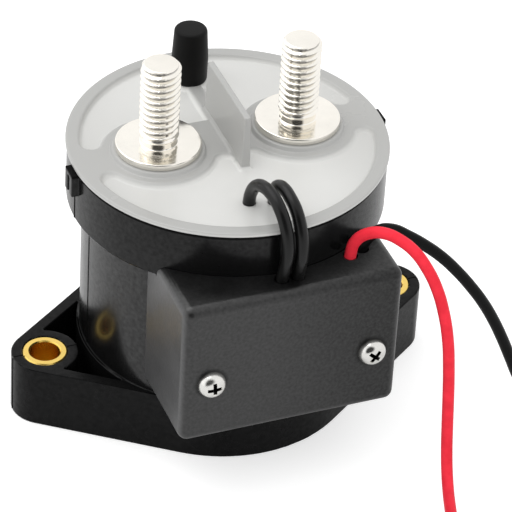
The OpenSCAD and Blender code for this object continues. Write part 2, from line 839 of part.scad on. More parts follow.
// Block with its front edges rounded, as wide and high as asked, open ended at the rear
module box_block(w, low, top, front, r) {
  mid = (low + top) / 2;
  deep = 2 * front;
  intersection() {
    translate([0, 0, mid]) rotate([90, 0, 0]) linear_extrude(front) round_rect(w, top - low, r);
    translate([0, 0, low]) linear_extrude(top - low) round_rect(w, deep, r);
    translate([-w / 2, 0, mid]) rotate([90, 0, 90]) linear_extrude(w) round_rect(deep, top - low, r);
  }
}

module economizer_box() {
  inner_r = max(box_edge - box_wall / 2, box_edge / 3);
  color(black_plastic) difference() {
    union() {
      difference() {
        box_block(box_w, box_low, box_top, box_face, box_edge);
        box_block(box_w - 2 * box_wall, box_low + box_wall, box_top - box_wall, box_back, inner_r);
      }
      board_stakes();
    }
    translate([0, 0, -cut]) cylinder(r = body_r + fit_gap, h = case_h);
    translate([0, 0, collar_z - fit_gap]) cylinder(r = collar_r + fit_gap, h = case_h);
    for (side = [-1, 1])
      translate([side * screw_x, -box_face - cut, screw_z]) rotate([-90, 0, 0])
        cylinder(d = screw_d + 2 * fit_gap, h = box_wall + 2 * cut);
    for (route = [coil_route_left, coil_route_right, lead_route_red, lead_route_black])
      wire_way(route);
  }
}

// Hole in the box top where a wire goes in
module wire_way(route) {
  inside = route[0][2] < box_top ? route[0] : last_of(route);
  translate([inside[0], inside[1], box_top - box_wall - cut])
    cylinder(d = wire_d + 4 * fit_gap, h = box_wall + 2 * cut);
}

module at_stakes() {
  for (x = [-1, 1], z = [-1, 1])
    translate([x * (board_w / 2 - board_inset), 0, board_z + z * (board_h / 2 - board_inset)])
      rotate([-90, 0, 0]) children();
}

module board_stakes() {
  translate([0, -box_back - box_wall / 2, 0]) at_stakes() {
    cylinder(r = standoff_r, h = standoff_h + box_wall / 2);
    cylinder(r = stake_r, h = standoff_h + box_wall / 2 + board_t + stake_proud);
  }
}

module economizer_board() {
  color("darkgreen") difference() {
    translate([-board_w / 2, board_y, board_z - board_h / 2]) cube([board_w, board_t, board_h]);
    translate([0, board_y - cut, 0]) at_stakes() cylinder(r = stake_r + slide_gap, h = board_t + 2 * cut);
  }
}

// Switching transistor, controller, two diodes and a buffer capacitor
module board_components() {
  face = board_y + board_t;
  left = -board_w / 2 + component_inset;
  right = board_w / 2 - component_inset;
  color(black_plastic) {
    translate([left, face, board_z + row_high]) cube(transistor_size);
    translate([right - controller_size[0], face, board_z + row_high]) cube(controller_size);
    for (i = [0, 1]) translate([left + i * diode_pitch, face, board_z - row_mid]) cube(diode_size);
  }
  color(steel) translate([right - capacitor_l, face + capacitor_r, board_z - row_low]) rotate([0, 90, 0])
    cylinder(r = capacitor_r, h = capacitor_l);
}

module box_screws() {
  recess_w = 0.7;
  recess_l = 2.6;
  recess_d = 1.1;
  recess_turns = [5, 38];
  color(plated) for (i = [0, 1])
    translate([(2 * i - 1) * screw_x, -box_face, screw_z]) rotate([90, 0, 0]) difference() {
      rotate_extrude() {
        translate([0, -screw_l]) square([screw_d / 2, screw_l]);
        intersection() {
          square([head_d / 2, head_h]);
          pan_section();
        }
      }
      for (turn = [0, 90])
        rotate(turn + recess_turns[i]) translate([-recess_l / 2, -recess_w / 2, head_h - recess_d])
          cube([recess_l, recess_w, recess_d + cut]);
    }
}

// Section of a pan head: a low dome whose rim is half as high as its middle
module pan_section() {
  rise = head_h / 2;
  dome_r = (head_d * head_d / 4 + rise * rise) / (2 * rise);
  translate([0, head_h - dome_r]) circle(dome_r);
}

// Wires

module coil_wire_left() { color(black_plastic) tube(coil_route_left, wire_d, 8); }
module coil_wire_right() { color(black_plastic) tube(coil_route_right, wire_d, 8); }

module lead(route, middle, turns, entry) {
  tube(concat(route, [hank_entry(middle, turns, entry)]), wire_d, 8);
}
module lead_red() { color(red) lead(lead_route_red, hank_middle_red, hank_turns_red, hank_entry_red); }
module lead_black() {
  color(black_plastic) lead(lead_route_black, hank_middle_black, hank_turns_black, hank_entry_black);
}

// Flat coil of the rest of a lead
module hank(middle, turns) {
  at_turn(middle, 0) translate([0, 0, hank_z]) rotate_extrude()
    translate([hank_in - wire_d / 2, -wire_d / 2]) square([hank_out(turns) - hank_in + wire_d, wire_d]);
}
module hank_red() { color(red) hank(hank_middle_red, hank_turns_red); }
module hank_black() { color(black_plastic) hank(hank_middle_black, hank_turns_black); }

// Bare strands at the inner end of a coiled lead
module bare_end(middle, turn, run) {
  color(copper) at_turn(middle, turn) translate([hank_in, 0, hank_z]) rotate([0, -90, -run * end_slant])
    cylinder(d = strand_d, h = strip_l);
}
module bare_end_red() { bare_end(hank_middle_red, end_turn_red, hank_run_red); }
module bare_end_black() { bare_end(hank_middle_black, end_turn_black, hank_run_black); }

// Band that holds a coiled lead together
module hank_tie(middle, turns, turn) {
  low = hank_in - wire_d / 2 - tie_gap;
  wide = hank_out(turns) - hank_in + wire_d + 2 * tie_gap;
  tall = wire_d + 2 * tie_gap;
  bulge = 0.4;
  color(ceramic_white) at_turn(middle, turn) difference() {
    translate([low - tie_t - bulge, -tie_w / 2, 0])
      cube([wide + 2 * tie_t + 2 * bulge, tie_w, tall + 2 * tie_t]);
    translate([low - bulge, -tie_w / 2 - cut, tie_t]) cube([wide + 2 * bulge, tie_w + 2 * cut, tall]);
  }
}
module hank_tie_red() { hank_tie(hank_middle_red, hank_turns_red, tie_turn_red); }
module hank_tie_black() { hank_tie(hank_middle_black, hank_turns_black, tie_turn_black); }

housing();
mounting_bush_left();
mounting_bush_right();
terminal_cover();
stud_left();
stud_right();
contact_tip_left();
contact_tip_right();
arc_chamber();
arc_magnet_front();
arc_magnet_rear();
moving_contact();
contact_bush();
contact_spring();
retaining_clip();
spring_seat();
plunger_shaft();
plunger();
return_spring();
fixed_core();
core_plate();
plunger_sleeve();
coil_bobbin();
coil_winding();
yoke_cup();
seal_tube();
tube_cap();
economizer_box();
economizer_board();
board_components();
box_screws();
coil_wire_left();
coil_wire_right();
lead_red();
hank_red();
bare_end_red();
hank_tie_red();
lead_black();
hank_black();
bare_end_black();
hank_tie_black();
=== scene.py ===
"""Finished look of a sealed high voltage DC contactor: moulded case and terminal cover, threaded
terminals, economizer box with its screws, coil wires and two leads with their coiled rest."""

import json
import math
from contextlib import contextmanager

import bmesh
import bpy
from bpy.props import FloatProperty, FloatVectorProperty, PointerProperty
from mathutils import Matrix, Vector


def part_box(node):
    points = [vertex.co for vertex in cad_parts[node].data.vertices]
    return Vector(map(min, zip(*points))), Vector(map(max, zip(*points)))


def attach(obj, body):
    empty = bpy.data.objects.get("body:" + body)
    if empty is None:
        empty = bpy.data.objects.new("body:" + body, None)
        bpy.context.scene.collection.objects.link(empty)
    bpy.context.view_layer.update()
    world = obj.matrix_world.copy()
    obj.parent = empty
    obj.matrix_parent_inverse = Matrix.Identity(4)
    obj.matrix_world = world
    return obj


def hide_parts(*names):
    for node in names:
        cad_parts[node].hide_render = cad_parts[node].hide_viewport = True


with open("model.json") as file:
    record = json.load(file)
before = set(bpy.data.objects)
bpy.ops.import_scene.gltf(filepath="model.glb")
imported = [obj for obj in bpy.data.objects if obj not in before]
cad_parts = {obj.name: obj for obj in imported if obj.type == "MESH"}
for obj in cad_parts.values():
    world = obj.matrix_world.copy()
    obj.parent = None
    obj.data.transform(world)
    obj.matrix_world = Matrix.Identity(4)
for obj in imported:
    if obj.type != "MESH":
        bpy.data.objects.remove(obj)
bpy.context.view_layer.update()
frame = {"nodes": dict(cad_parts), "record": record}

bl_info = {
    "name": "Contactor Finish",
    "version": (1, 0, 0),
    "blender": (4, 5, 0),
    "location": "3D View > Sidebar > Contactor",
    "description": "Builds the finished pieces, materials and studio of a DC contactor around its solids",
    "category": "Object",
}

MM = 0.001
TINY = 1e-9  # a radius below this lies on the axis
MERGE = 0.0005 * MM  # points closer than this become one
FIT = 0.05 * MM  # play around a fitted piece
FULL_TURN = 2 * math.pi

# Places read from the solids
RIM_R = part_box("terminal_cover")[1].x
BARRIER_TOP_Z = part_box("terminal_cover")[1].z
PLUG_LOW_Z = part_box("terminal_cover")[0].z
CASE_TOP_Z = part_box("housing")[1].z
POCKET_Z = CASE_TOP_Z
STUD_LOW, STUD_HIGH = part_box("stud_right")
STUD_X = (STUD_LOW.x + STUD_HIGH.x) / 2
FLANGE_R = (STUD_HIGH.x - STUD_LOW.x) / 2
CAP_LOW, CAP_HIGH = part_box("tube_cap")
CAP_Y = (CAP_LOW.y + CAP_HIGH.y) / 2
TUBE_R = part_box("seal_tube")[1].x
BUSH_LOW, BUSH_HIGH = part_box("mounting_bush_right")
EAR_X = (BUSH_LOW.x + BUSH_HIGH.x) / 2
EAR_TOP_Z = BUSH_HIGH.z
BOX_FACE_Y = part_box("economizer_box")[0].y
SCREW_LOW, SCREW_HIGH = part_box("box_screws")
SCREW_Z = (SCREW_LOW.z + SCREW_HIGH.z) / 2
SCREW_HEAD_R = (SCREW_HIGH.z - SCREW_LOW.z) / 2
SCREW_X = SCREW_HIGH.x - SCREW_HEAD_R

# Sizes of the solids that their boxes don't give: a terminal's shank and the collar's lower edge
SHANK_R = 5.0 * MM
COLLAR_Z = 45.85 * MM


def length(name, description, default_mm):
    """Size that a user may change, given in millimetres and kept in metres."""
    return FloatProperty(name=name, description=description, default=default_mm * MM,
                         unit="LENGTH", precision=5)


def colour(name, description, default):
    """Colour that a user may change."""
    return FloatVectorProperty(name=name, description=description, default=default, subtype="COLOR",
                               min=0.0, max=1.0)


def angle(name, description, degrees):
    """Angle that a user may change, given in degrees and kept in radians."""
    return FloatProperty(name=name, description=description, default=math.radians(degrees), subtype="ANGLE")


class ContactorSizes(bpy.types.PropertyGroup):
    """Sizes of the finished pieces."""
    edge_round: length("Edge rounding", "Rounding of the case's moulded edges", 0.3)
    rim_width: length("Rim width", "Width of the cover's raised rim", 2.7)
    rim_round: length("Rim rounding", "Rounding of the rim's outer edges", 0.35)
    pocket_depth: length("Pocket depth", "Depth of the cover's pockets", 1.0)
    pocket_step: length("Pocket step", "Width of the soft step down into a pocket", 1.1)
    pocket_end: length("Pocket end", "Rounding of a pocket's end beside the rim", 2.2)
    pad_end: length("Pad end", "Rounding of the front pocket's end beside the barrier", 2.4)
    pad_rear: length("Pad rear", "Rear edge of the raised pad beside the barrier, from the axis", 7.2)
    boss_radius: length("Boss radius", "Radius of the raised boss around a terminal", 11.3)
    seat_radius: length("Seat radius", "Radius of the seat under a terminal flange", 9.3)
    seat_height: length("Seat height", "Height of the seat above the boss", 0.9)
    seat_step: length("Seat step", "Width of the soft step around the seat", 0.5)
    barrier_foot: length("Barrier foot", "Thickness of the barrier at its foot", 2.0)
    barrier_top: length("Barrier top", "Thickness of the barrier at its top", 1.3)
    barrier_fillet: length("Barrier fillet", "Fillet around the barrier's foot", 0.7)
    barrier_front: length("Barrier front", "Front end of the barrier from the axis", 10.0)
    barrier_rear: length("Barrier rear", "Rear end of the barrier from the axis", 11.0)
    box_round: length("Box edges", "Rounding of the economizer box's edges and corners", 2.0)
    strip_width: length("Strip width", "Width of the low strip from the barrier to the sealing tube", 2.7)
    tube_boss: length("Tube boss", "Radius of the raised boss under the tube cap", 3.5)
    thread_pitch: length("Thread pitch", "Pitch of the terminal threads", 1.41)
    thread_depth: length("Thread depth", "Depth of the terminal threads", 0.82)
    wire_diameter: length("Wire diameter", "Diameter of the leads over their insulation", 2.4)
    coil_wire_diameter: length("Coil wire diameter", "Diameter of a coil wire over its insulation", 2.55)
    strand_diameter: length("Strand diameter", "Diameter of the bare strands together", 1.4)


class ContactorColours(bpy.types.PropertyGroup):
    """Base colours of the finishes that show."""
    case: colour("Case", "Satin black of the case", (0.005, 0.005, 0.0051))
    box: colour("Box", "Grained charcoal of the economizer box", (0.006, 0.006, 0.0061))
    cover: colour("Cover", "Glossy light grey of the terminal cover", (0.74, 0.74, 0.72))
    plating: colour("Plating", "Bright plating of the terminals", (0.98, 0.945, 0.875))
    nickel: colour("Nickel", "Plating of the box screws", (0.80, 0.79, 0.76))
    brass: colour("Brass", "Turned brass of the bushes", (0.93, 0.66, 0.18))
    rubber: colour("Rubber", "Black rubber of the cap", (0.004, 0.004, 0.004))
    wire_black: colour("Black wire", "Black insulation", (0.004, 0.004, 0.004))
    wire_red: colour("Red wire", "Red insulation", (1.0, 0.036, 0.060))


class ContactorStage(bpy.types.PropertyGroup):
    """Camera and light of the studio."""
    azimuth: angle("Azimuth", "Direction of the camera around the object", -23.0824)
    elevation: angle("Elevation", "Height angle of the camera", 36.7941)
    roll: angle("Roll", "Turn of the camera about its line of sight", 3.3471)
    distance: length("Distance", "Distance of the camera from its target", 713.57)
    target: FloatVectorProperty(name="Target", description="Point that the camera looks at",
                                default=(6.374 * MM, -2.716 * MM, 29.705 * MM), subtype="TRANSLATION")
    lens: FloatProperty(name="Lens", description="Focal length in millimetres", default=246.75)
    surround: FloatProperty(name="Surround", description="Strength of the even light from all around",
                            default=0.62)
    key_power: FloatProperty(name="Key power", description="Power of the large lamp above", default=2.3)
    side_glow: FloatProperty(name="Side glow", description="Brightness behind at the left in mirrored light",
                             default=1.3)


def sizes():
    """Sizes of this scene."""
    return bpy.context.scene.contactor_sizes


def colours():
    """Colours of this scene."""
    return bpy.context.scene.contactor_colours


# Node trees

VALUE, VECTOR, GEOMETRY = "NodeSocketFloat", "NodeSocketVector", "NodeSocketGeometry"
MIX_FIRST, MIX_SECOND, MIX_RESULT = 6, 7, 2  # colour sockets of a mix node


def add(tree, kind, inputs=None, **settings):
    """Adds a node to a tree, sets it up and joins or fills its inputs."""
    node = tree.nodes.new(kind)
    for key, value in settings.items():
        setattr(node, key, value)
    for key, value in (inputs or {}).items():
        if isinstance(value, bpy.types.NodeSocket):
            tree.links.new(value, node.inputs[key])
        else:
            node.inputs[key].default_value = value
    return node


def calc(tree, operation, *values):
    """Result of a math node."""
    return add(tree, "ShaderNodeMath", dict(enumerate(values)), operation=operation).outputs[0]


def vector_calc(tree, operation, *values):
    """Outputs of a vector math node."""
    return add(tree, "ShaderNodeVectorMath", dict(enumerate(values)), operation=operation).outputs


def axis_distance(tree, x, y):
    """Distance from an axis along Z."""
    squares = calc(tree, "ADD", calc(tree, "POWER", x, 2.0), calc(tree, "POWER", y, 2.0))
    return calc(tree, "SQRT", squares)


def spread(tree, value, low, high, to_low=0.0, to_high=1.0, soft=False):
    """Value mapped from one range to another and held inside it."""
    kind = "SMOOTHSTEP" if soft else "LINEAR"
    inputs = {"Value": value, "From Min": low, "From Max": high, "To Min": to_low, "To Max": to_high}
    return add(tree, "ShaderNodeMapRange", inputs, interpolation_type=kind).outputs["Result"]


def node_group(name, kind, inputs, outputs):
    """New node group with named sockets; returns its tree, the input node and the output node."""
    tree = bpy.data.node_groups.new(name, kind)
    for direction, sockets in (("INPUT", inputs), ("OUTPUT", outputs)):
        for label, socket_type in sockets.items():
            tree.interface.new_socket(label, in_out=direction, socket_type=socket_type)
    return tree, tree.nodes.new("NodeGroupInput"), tree.nodes.new("NodeGroupOutput")


def grain_group():
    """Moulded grain: a fine height and a broad mottle."""
    name = "moulded_grain"
    if name in bpy.data.node_groups:
        return bpy.data.node_groups[name]
    tree, source, result = node_group(
        name, "ShaderNodeTree", {"Vector": VECTOR, "Fine": VALUE, "Broad": VALUE},
        {"Height": VALUE, "Mottle": VALUE})
    place = source.outputs["Vector"]
    fine = add(tree, "ShaderNodeTexNoise", {"Vector": place, "Scale": source.outputs["Fine"], "Detail": 3.0})
    broad = add(tree, "ShaderNodeTexNoise",
                {"Vector": place, "Scale": source.outputs["Broad"], "Detail": 4.0, "Roughness": 0.6})
    tree.links.new(fine.outputs["Fac"], result.inputs["Height"])
    tree.links.new(spread(tree, broad.outputs["Fac"], 0.32, 0.68), result.inputs["Mottle"])
    return tree


def turning_group():
    """Fine rings left by turning about the Z axis, as a height."""
    name = "turned_rings"
    if name in bpy.data.node_groups:
        return bpy.data.node_groups[name]
    tree, source, result = node_group(
        name, "ShaderNodeTree", {"Vector": VECTOR, "Rings": VALUE}, {"Height": VALUE})
    parts = add(tree, "ShaderNodeSeparateXYZ", {"Vector": source.outputs["Vector"]}).outputs
    radius = axis_distance(tree, parts["X"], parts["Y"])
    rings = add(tree, "ShaderNodeTexNoise", {"W": radius, "Scale": source.outputs["Rings"], "Detail": 2.0},
                noise_dimensions="1D")
    tree.links.new(rings.outputs["Fac"], result.inputs["Height"])
    return tree


class Finish:
    """Material under construction: its tree, its surface shader and its place on the piece."""

    def __init__(self, name, metallic=0.0, specular=0.5):
        self.material = bpy.data.materials.new(name)
        self.material.use_nodes = True
        self.tree = self.material.node_tree
        self.surface = self.tree.nodes["Principled BSDF"]
        self.place = add(self.tree, "ShaderNodeTexCoord").outputs["Object"]
        self.surface.inputs["Metallic"].default_value = metallic
        self.surface.inputs["Specular IOR Level"].default_value = specular

    def along(self, axis):
        """Place along one axis."""
        return add(self.tree, "ShaderNodeSeparateXYZ", {"Vector": self.place}).outputs[axis]

    def distance(self, centre, counted=(1.0, 1.0, 0.0)):
        """Distance from a point and from its mirror images along the counted axes."""
        mirrored = vector_calc(self.tree, "ABSOLUTE", self.place)["Vector"]
        offset = vector_calc(self.tree, "SUBTRACT", mirrored, tuple(abs(c) for c in centre))["Vector"]
        offset = vector_calc(self.tree, "MULTIPLY", offset, counted)["Vector"]
        return vector_calc(self.tree, "LENGTH", offset)["Value"]

    def spread(self, value, *ranges, soft=False):
        """Value mapped from one range to another and held inside it."""
        return spread(self.tree, value, *ranges, soft=soft)

    def product(self, mask, *others):
        """Masks multiplied together."""
        for other in others:
            mask = calc(self.tree, "MULTIPLY", mask, other)
        return mask

    def grain(self, fine, broad):
        """Moulded grain of this finish."""
        values = {"Vector": self.place, "Fine": fine, "Broad": broad}
        return add(self.tree, "ShaderNodeGroup", values, node_tree=grain_group()).outputs

    def specks(self, fine):
        """Fine noise of this finish alone, at the scale of its grain."""
        values = {"Vector": self.place, "Scale": fine, "Detail": 3.0}
        return add(self.tree, "ShaderNodeTexNoise", values).outputs["Fac"]

    def rings(self, centre, spacing):
        """Turning marks of this finish about an upright axis."""
        centred = add(self.tree, "ShaderNodeMapping",
                      {"Vector": self.place, "Location": tuple(-c for c in centre)})
        values = {"Vector": centred.outputs["Vector"], "Rings": spacing}
        return add(self.tree, "ShaderNodeGroup", values, node_tree=turning_group()).outputs["Height"]

    def tint(self, mask, dark, light):
        """Base colour that runs between two tones along a mask."""
        self.blend(mask, (*dark, 1.0), light)

    def paint_shading(self, mask, tone):
        """Painted light and shade: turns the base colour to another tone along a mask."""
        self.blend(mask, self.surface.inputs["Base Color"].links[0].from_socket, tone)

    def blend(self, mask, first, tone):
        """Base colour that runs from a colour or a socket to a tone along a mask."""
        values = {"Factor": mask, MIX_FIRST: first, MIX_SECOND: (*tone, 1.0)}
        mixed = add(self.tree, "ShaderNodeMix", values, data_type="RGBA").outputs[MIX_RESULT]
        self.tree.links.new(mixed, self.surface.inputs["Base Color"])

    def rough(self, mask, low, high):
        """Roughness along a mask."""
        self.drive("Roughness", mask, low, high)

    def gloss(self, mask, low, high):
        """Strength of the mirror sheen along a mask."""
        self.drive("Specular IOR Level", mask, low, high)

    def drive(self, socket, mask, low, high):
        """Runs one of the surface's values from low to high along a mask."""
        self.tree.links.new(self.spread(mask, 0.0, 1.0, low, high), self.surface.inputs[socket])

    def bump(self, height, strength, depth_mm):
        """Relief from a height between 0 and 1."""
        values = {"Strength": strength, "Distance": depth_mm * MM, "Height": height}
        normal = add(self.tree, "ShaderNodeBump", values).outputs["Normal"]
        self.tree.links.new(normal, self.surface.inputs["Normal"])


def shade(tone, share):
    """A colour made darker or lighter by a share."""
    return tuple(min(1.0, c * share) for c in tone)


def moulded(name, tone, fine=1500.0, broad=90.0, rough=(0.36, 0.46), relief=(0.25, 0.04), specular=0.5):
    """Moulded plastic with a fine grain and a slight mottle."""
    finish = Finish(name, specular=specular)
    grain = finish.grain(fine, broad)
    finish.tint(grain["Mottle"], shade(tone, 0.82), shade(tone, 1.18))
    finish.rough(grain["Mottle"], *rough)
    finish.bump(grain["Height"], *relief)
    return finish


def metal(name, tone, rough, marks=None):
    """Metal with slightly uneven gloss and a fine grain, or with turning marks about an upright axis,
    given by their centre, spacing, strength and depth in millimetres."""
    finish = Finish(name, metallic=1.0)
    grain = finish.grain(2500.0, 140.0)
    finish.tint(grain["Mottle"], shade(tone, 0.93), tone)
    finish.rough(grain["Mottle"], *rough)
    if marks:
        centre, spacing, strength, depth_mm = marks
        finish.bump(finish.rings(centre, spacing), strength, depth_mm)
    else:
        finish.bump(grain["Height"], 0.08, 0.01)
    return finish


# Meshes

def new_object(name, data):
    """Object in the scene that holds a mesh, a curve, a camera or a lamp."""
    piece = bpy.data.objects.new(name, data)
    bpy.context.scene.collection.objects.link(piece)
    return piece


def new_piece(name, verts, faces):
    """Mesh object at the origin from points and faces."""
    mesh = bpy.data.meshes.new(name)
    mesh.from_pydata([tuple(v) for v in verts], [], faces)
    mesh.update()
    return new_object(name, mesh)


def discard(piece):
    """Removes an object that is no longer needed, with its mesh."""
    mesh = piece.data
    bpy.data.objects.remove(piece)
    bpy.data.meshes.remove(mesh)


@contextmanager
def edited(piece):
    """Opens a piece's mesh for edits and writes it back."""
    work = bmesh.new()
    work.from_mesh(piece.data)
    yield work
    work.to_mesh(piece.data)
    work.free()


def clean(piece):
    """Merges doubles and turns all faces outwards."""
    with edited(piece) as work:
        bmesh.ops.remove_doubles(work, verts=work.verts, dist=MERGE)
        bmesh.ops.recalc_face_normals(work, faces=work.faces)


def join(piece, other):
    """Adds another piece to this one as a closed shell of its own, and removes the other."""
    with edited(piece) as work:
        work.from_mesh(other.data)
    discard(other)


def settle(piece):
    """Turns a piece with modifiers into a plain mesh."""
    evaluated = piece.evaluated_get(bpy.context.evaluated_depsgraph_get())
    mesh = bpy.data.meshes.new_from_object(evaluated)
    piece.modifiers.clear()
    old, piece.data = piece.data, mesh
    bpy.data.meshes.remove(old)
    mesh.name = piece.name


def carve(piece, other, operation):
    """Cuts a piece with another one, or down to what they share, and removes the other."""
    step = piece.modifiers.new("carve", "BOOLEAN")
    step.operation = operation
    step.solver = "EXACT"
    step.object = other
    settle(piece)
    discard(other)


def soften(piece, width, segments=2):
    """Rounds the sharp edges of a piece."""
    step = piece.modifiers.new("edges", "BEVEL")
    step.width = width
    step.segments = segments
    step.limit_method = "ANGLE"
    step.angle_limit = math.radians(40.0)
    step.use_clamp_overlap = False
    step.miter_outer = "MITER_ARC"
    step.harden_normals = True
    settle(piece)


def smooth(piece, degrees=32.0):
    """Smooth shading with edges kept where faces meet more sharply."""
    piece.data.shade_smooth()
    piece.data.set_sharp_from_angle(angle=math.radians(degrees))


def even_normals(piece, degrees=32.0):
    """Smooth shading that follows the large faces, with edges kept where faces meet more sharply."""
    smooth(piece, degrees)
    step = piece.modifiers.new("normals", "WEIGHTED_NORMAL")
    step.mode = "FACE_AREA"
    step.weight = 100
    step.keep_sharp = True
    settle(piece)


def rectangle(x0, x1, y0, y1, z):
    """Four corners at a height, counter-clockwise."""
    return [(x0, y0, z), (x1, y0, z), (x1, y1, z), (x0, y1, z)]


def wedge(name, lower, upper):
    """Closed form between two rings of four points."""
    faces = [(3, 2, 1, 0), (4, 5, 6, 7), (0, 1, 5, 4), (1, 2, 6, 5), (2, 3, 7, 6), (3, 0, 4, 7)]
    return new_piece(name, [*lower, *upper], faces)


def solid_copy(node, name):
    """Merged copy of a solid with its flat triangles joined in pairs."""
    piece = new_object(name, frame["nodes"][node].data.copy())
    piece.data.materials.clear()
    with edited(piece) as work:
        bmesh.ops.remove_doubles(work, verts=work.verts, dist=MERGE)
        bmesh.ops.join_triangles(work, faces=work.faces, angle_face_threshold=math.radians(0.4),
                                 angle_shape_threshold=math.pi)
    return piece


def round_corners(points, radius, steps=4):
    """Outline with its inner corners rounded as far as their edges allow."""
    outline = [Vector(points[0])]
    for before, at, after in zip(points, points[1:], points[2:]):
        corner, to_before, to_after = Vector(at), Vector(before) - Vector(at), Vector(after) - Vector(at)
        reach = min(radius, 0.45 * to_before.length, 0.45 * to_after.length)
        start, stop = corner + to_before.normalized() * reach, corner + to_after.normalized() * reach
        for k in range(steps + 1):
            t = k / steps
            outline.append((1 - t) ** 2 * start + 2 * t * (1 - t) * corner + t * t * stop)
    return outline + [Vector(points[-1])]


def turned(name, profile, segments, centre=(0.0, 0.0)):
    """Closed turned form from (radius, height) points that run from the lower pole to the upper one,
    or round a closed loop where no point lies on the axis."""
    verts, rings, faces = [], [], []
    for radius, height in profile:
        count = 1 if radius < TINY else segments
        rings.append(range(len(verts), len(verts) + count))
        verts += [(centre[0] + radius * math.cos(FULL_TURN * k / segments),
                   centre[1] + radius * math.sin(FULL_TURN * k / segments), height) for k in range(count)]
    loop = profile[0][0] >= TINY
    for low, high in zip(rings, [*rings[1:], rings[0]] if loop else rings[1:]):
        for k in range(segments):
            n = (k + 1) % segments
            ring = [low[k % len(low)], low[n % len(low)], high[n % len(high)], high[k % len(high)]]
            faces.append(tuple(dict.fromkeys(ring)))
    return new_piece(name, verts, faces)


def dress(piece, material, body, slot, *nodes):
    """Gives a finished piece its material and body and hides the solids that it stands for; its record slot
    is not used.
    """
    piece.data.materials.clear()
    piece.data.materials.append(material)
    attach(piece, body)
    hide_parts(*nodes)


def bridge(value, low, high):
    """Smooth rise from 0 to 1 between two values."""
    t = min(1.0, max(0.0, (value - low) / (high - low)))
    return t * t * (3 - 2 * t)


# Wires

COIL_ROUTES = {
    "left": [
        (-3.3, -20.5, 55), (-3.3, -20.5, 58), (-3.2, -21.1, 60.6), (-2.9, -23, 63.3), (-2.5, -25.8, 64.7),
        (-2, -28.9, 64.7), (-1.6, -31.7, 63.5), (-1.2, -34, 61), (-1, -35.2, 58), (-1, -35.5, 55),
        (-1.2, -34.9, 51.5), (-1.3, -34.3, 48.5), (-1.3, -34.1, 45.5),
    ],
    "right": [
        (1.4, -21.8, 55), (1.4, -21.8, 58), (1.2, -22.2, 60.6), (1, -24.2, 63.2), (1.1, -27, 64.4),
        (1.3, -29.7, 64.1), (1.6, -32.3, 62.8), (1.8, -34.4, 60.2), (1.9, -35.5, 57.2), (1.9, -35.7, 54.2),
        (1.9, -35, 51), (1.9, -34.4, 48.3), (1.9, -34.2, 45.5),
    ],
}

LEAD_ROUTES = {
    "red": [
        (14.3, -31, 45.5), (14.3, -31, 48.6), (14.9, -31.5, 52), (16.9, -33.1, 54.6), (19.4, -35.1, 55.4),
        (21.9, -37.2, 54.6), (24.2, -39.1, 52.7), (26.2, -40.8, 49.6), (28, -42.3, 45.4), (29.4, -43.5, 40.1),
        (30.5, -44.4, 33.5), (31.1, -44.9, 26.3), (31.4, -45.3, 19.5), (31.5, -45.9, 13), (31.4, -46.9, 7.6),
        (30.9, -49, 3.4), (29.9, -52.2, 1.6), (28.6, -56, 1.3), (26.8, -61.5, 1.3), (24.8, -67.5, 1.5),
        (23.4, -73, 1.7),
    ],
    "black": [
        (17.2, -29.6, 45.5), (17.2, -29.6, 48.4), (18.4, -29.6, 50.6), (20.7, -29.6, 52), (23.4, -29.7, 51.7),
        (26.7, -30.3, 49.8), (30.7, -31, 46.8), (34, -31.6, 43.8), (37.4, -32.2, 39.9), (40.4, -32.7, 35.9),
        (43.1, -33.2, 31.8), (45.6, -33.6, 27.2), (47.8, -34, 22.4), (49.9, -34.5, 17.2), (52, -34.9, 12),
        (54.5, -35.3, 7), (57.8, -35.7, 3.2), (61.5, -35.9, 1.6),
    ],
}

# Coiled rest of each lead in millimetres and degrees: middle, angle where the lead comes in and
# way round (1 is counter-clockwise)
HANKS = {"red": ((39.5, -83.5), 162.0, 1), "black": ((66.5, -53.5), 80.0, -1)}
HANK_TURNS = 3.25
HANK_IN = 9.8
HANK_PITCH = 2.5
HANK_Z = 1.85
HANK_STEPS = 16
BAND_ROOM = 1.65  # from the middle line of the first or last turn to the band
STRIP_LENGTH = 7.0
STRIP_SLANT = 60.0
STRAND_TURNS = 1.3
OUTER_STRANDS = 6


def hank_points(middle, entry, way):
    """Points of a flat spiral that runs inwards from where the lead comes in, in millimetres."""
    count = round(HANK_TURNS * HANK_STEPS)
    points = []
    for k in range(count + 1):
        turns = HANK_TURNS * k / count
        radius = HANK_IN + HANK_PITCH * (HANK_TURNS - turns)
        turn = math.radians(entry) + way * FULL_TURN * turns
        points.append((middle[0] + radius * math.cos(turn), middle[1] + radius * math.sin(turn), HANK_Z))
    return points


def wire(name, points, diameter):
    """Round wire as one smooth open curve through points in millimetres."""
    curve = bpy.data.curves.new(name, "CURVE")
    curve.dimensions = "3D"
    curve.bevel_depth = diameter / 2
    curve.bevel_resolution = 6
    curve.resolution_u = 6
    curve.use_fill_caps = True
    spline = curve.splines.new("BEZIER")
    spline.bezier_points.add(len(points) - 1)
    for knot, point in zip(spline.bezier_points, points):
        knot.co = Vector(point) * MM
        knot.handle_left_type = knot.handle_right_type = "AUTO"
    return new_object(name, curve)


def insulation(name, tone, specular):
    """Smooth extruded insulation with a faint mottle."""
    return moulded(name, tone, fine=1800.0, broad=260.0, rough=(0.26, 0.36), relief=(0.12, 0.03),
                   specular=specular).material


def finish_tree(tree, geometry, material, result):
    """Ends a geometry tree with whole meshes and their material."""
    whole = add(tree, "GeometryNodeRealizeInstances", {"Geometry": geometry}).outputs["Geometry"]
    faced = add(tree, "GeometryNodeSetMaterial", {"Geometry": whole, "Material": material})
    tree.links.new(faced.outputs["Geometry"], result.inputs["Geometry"])


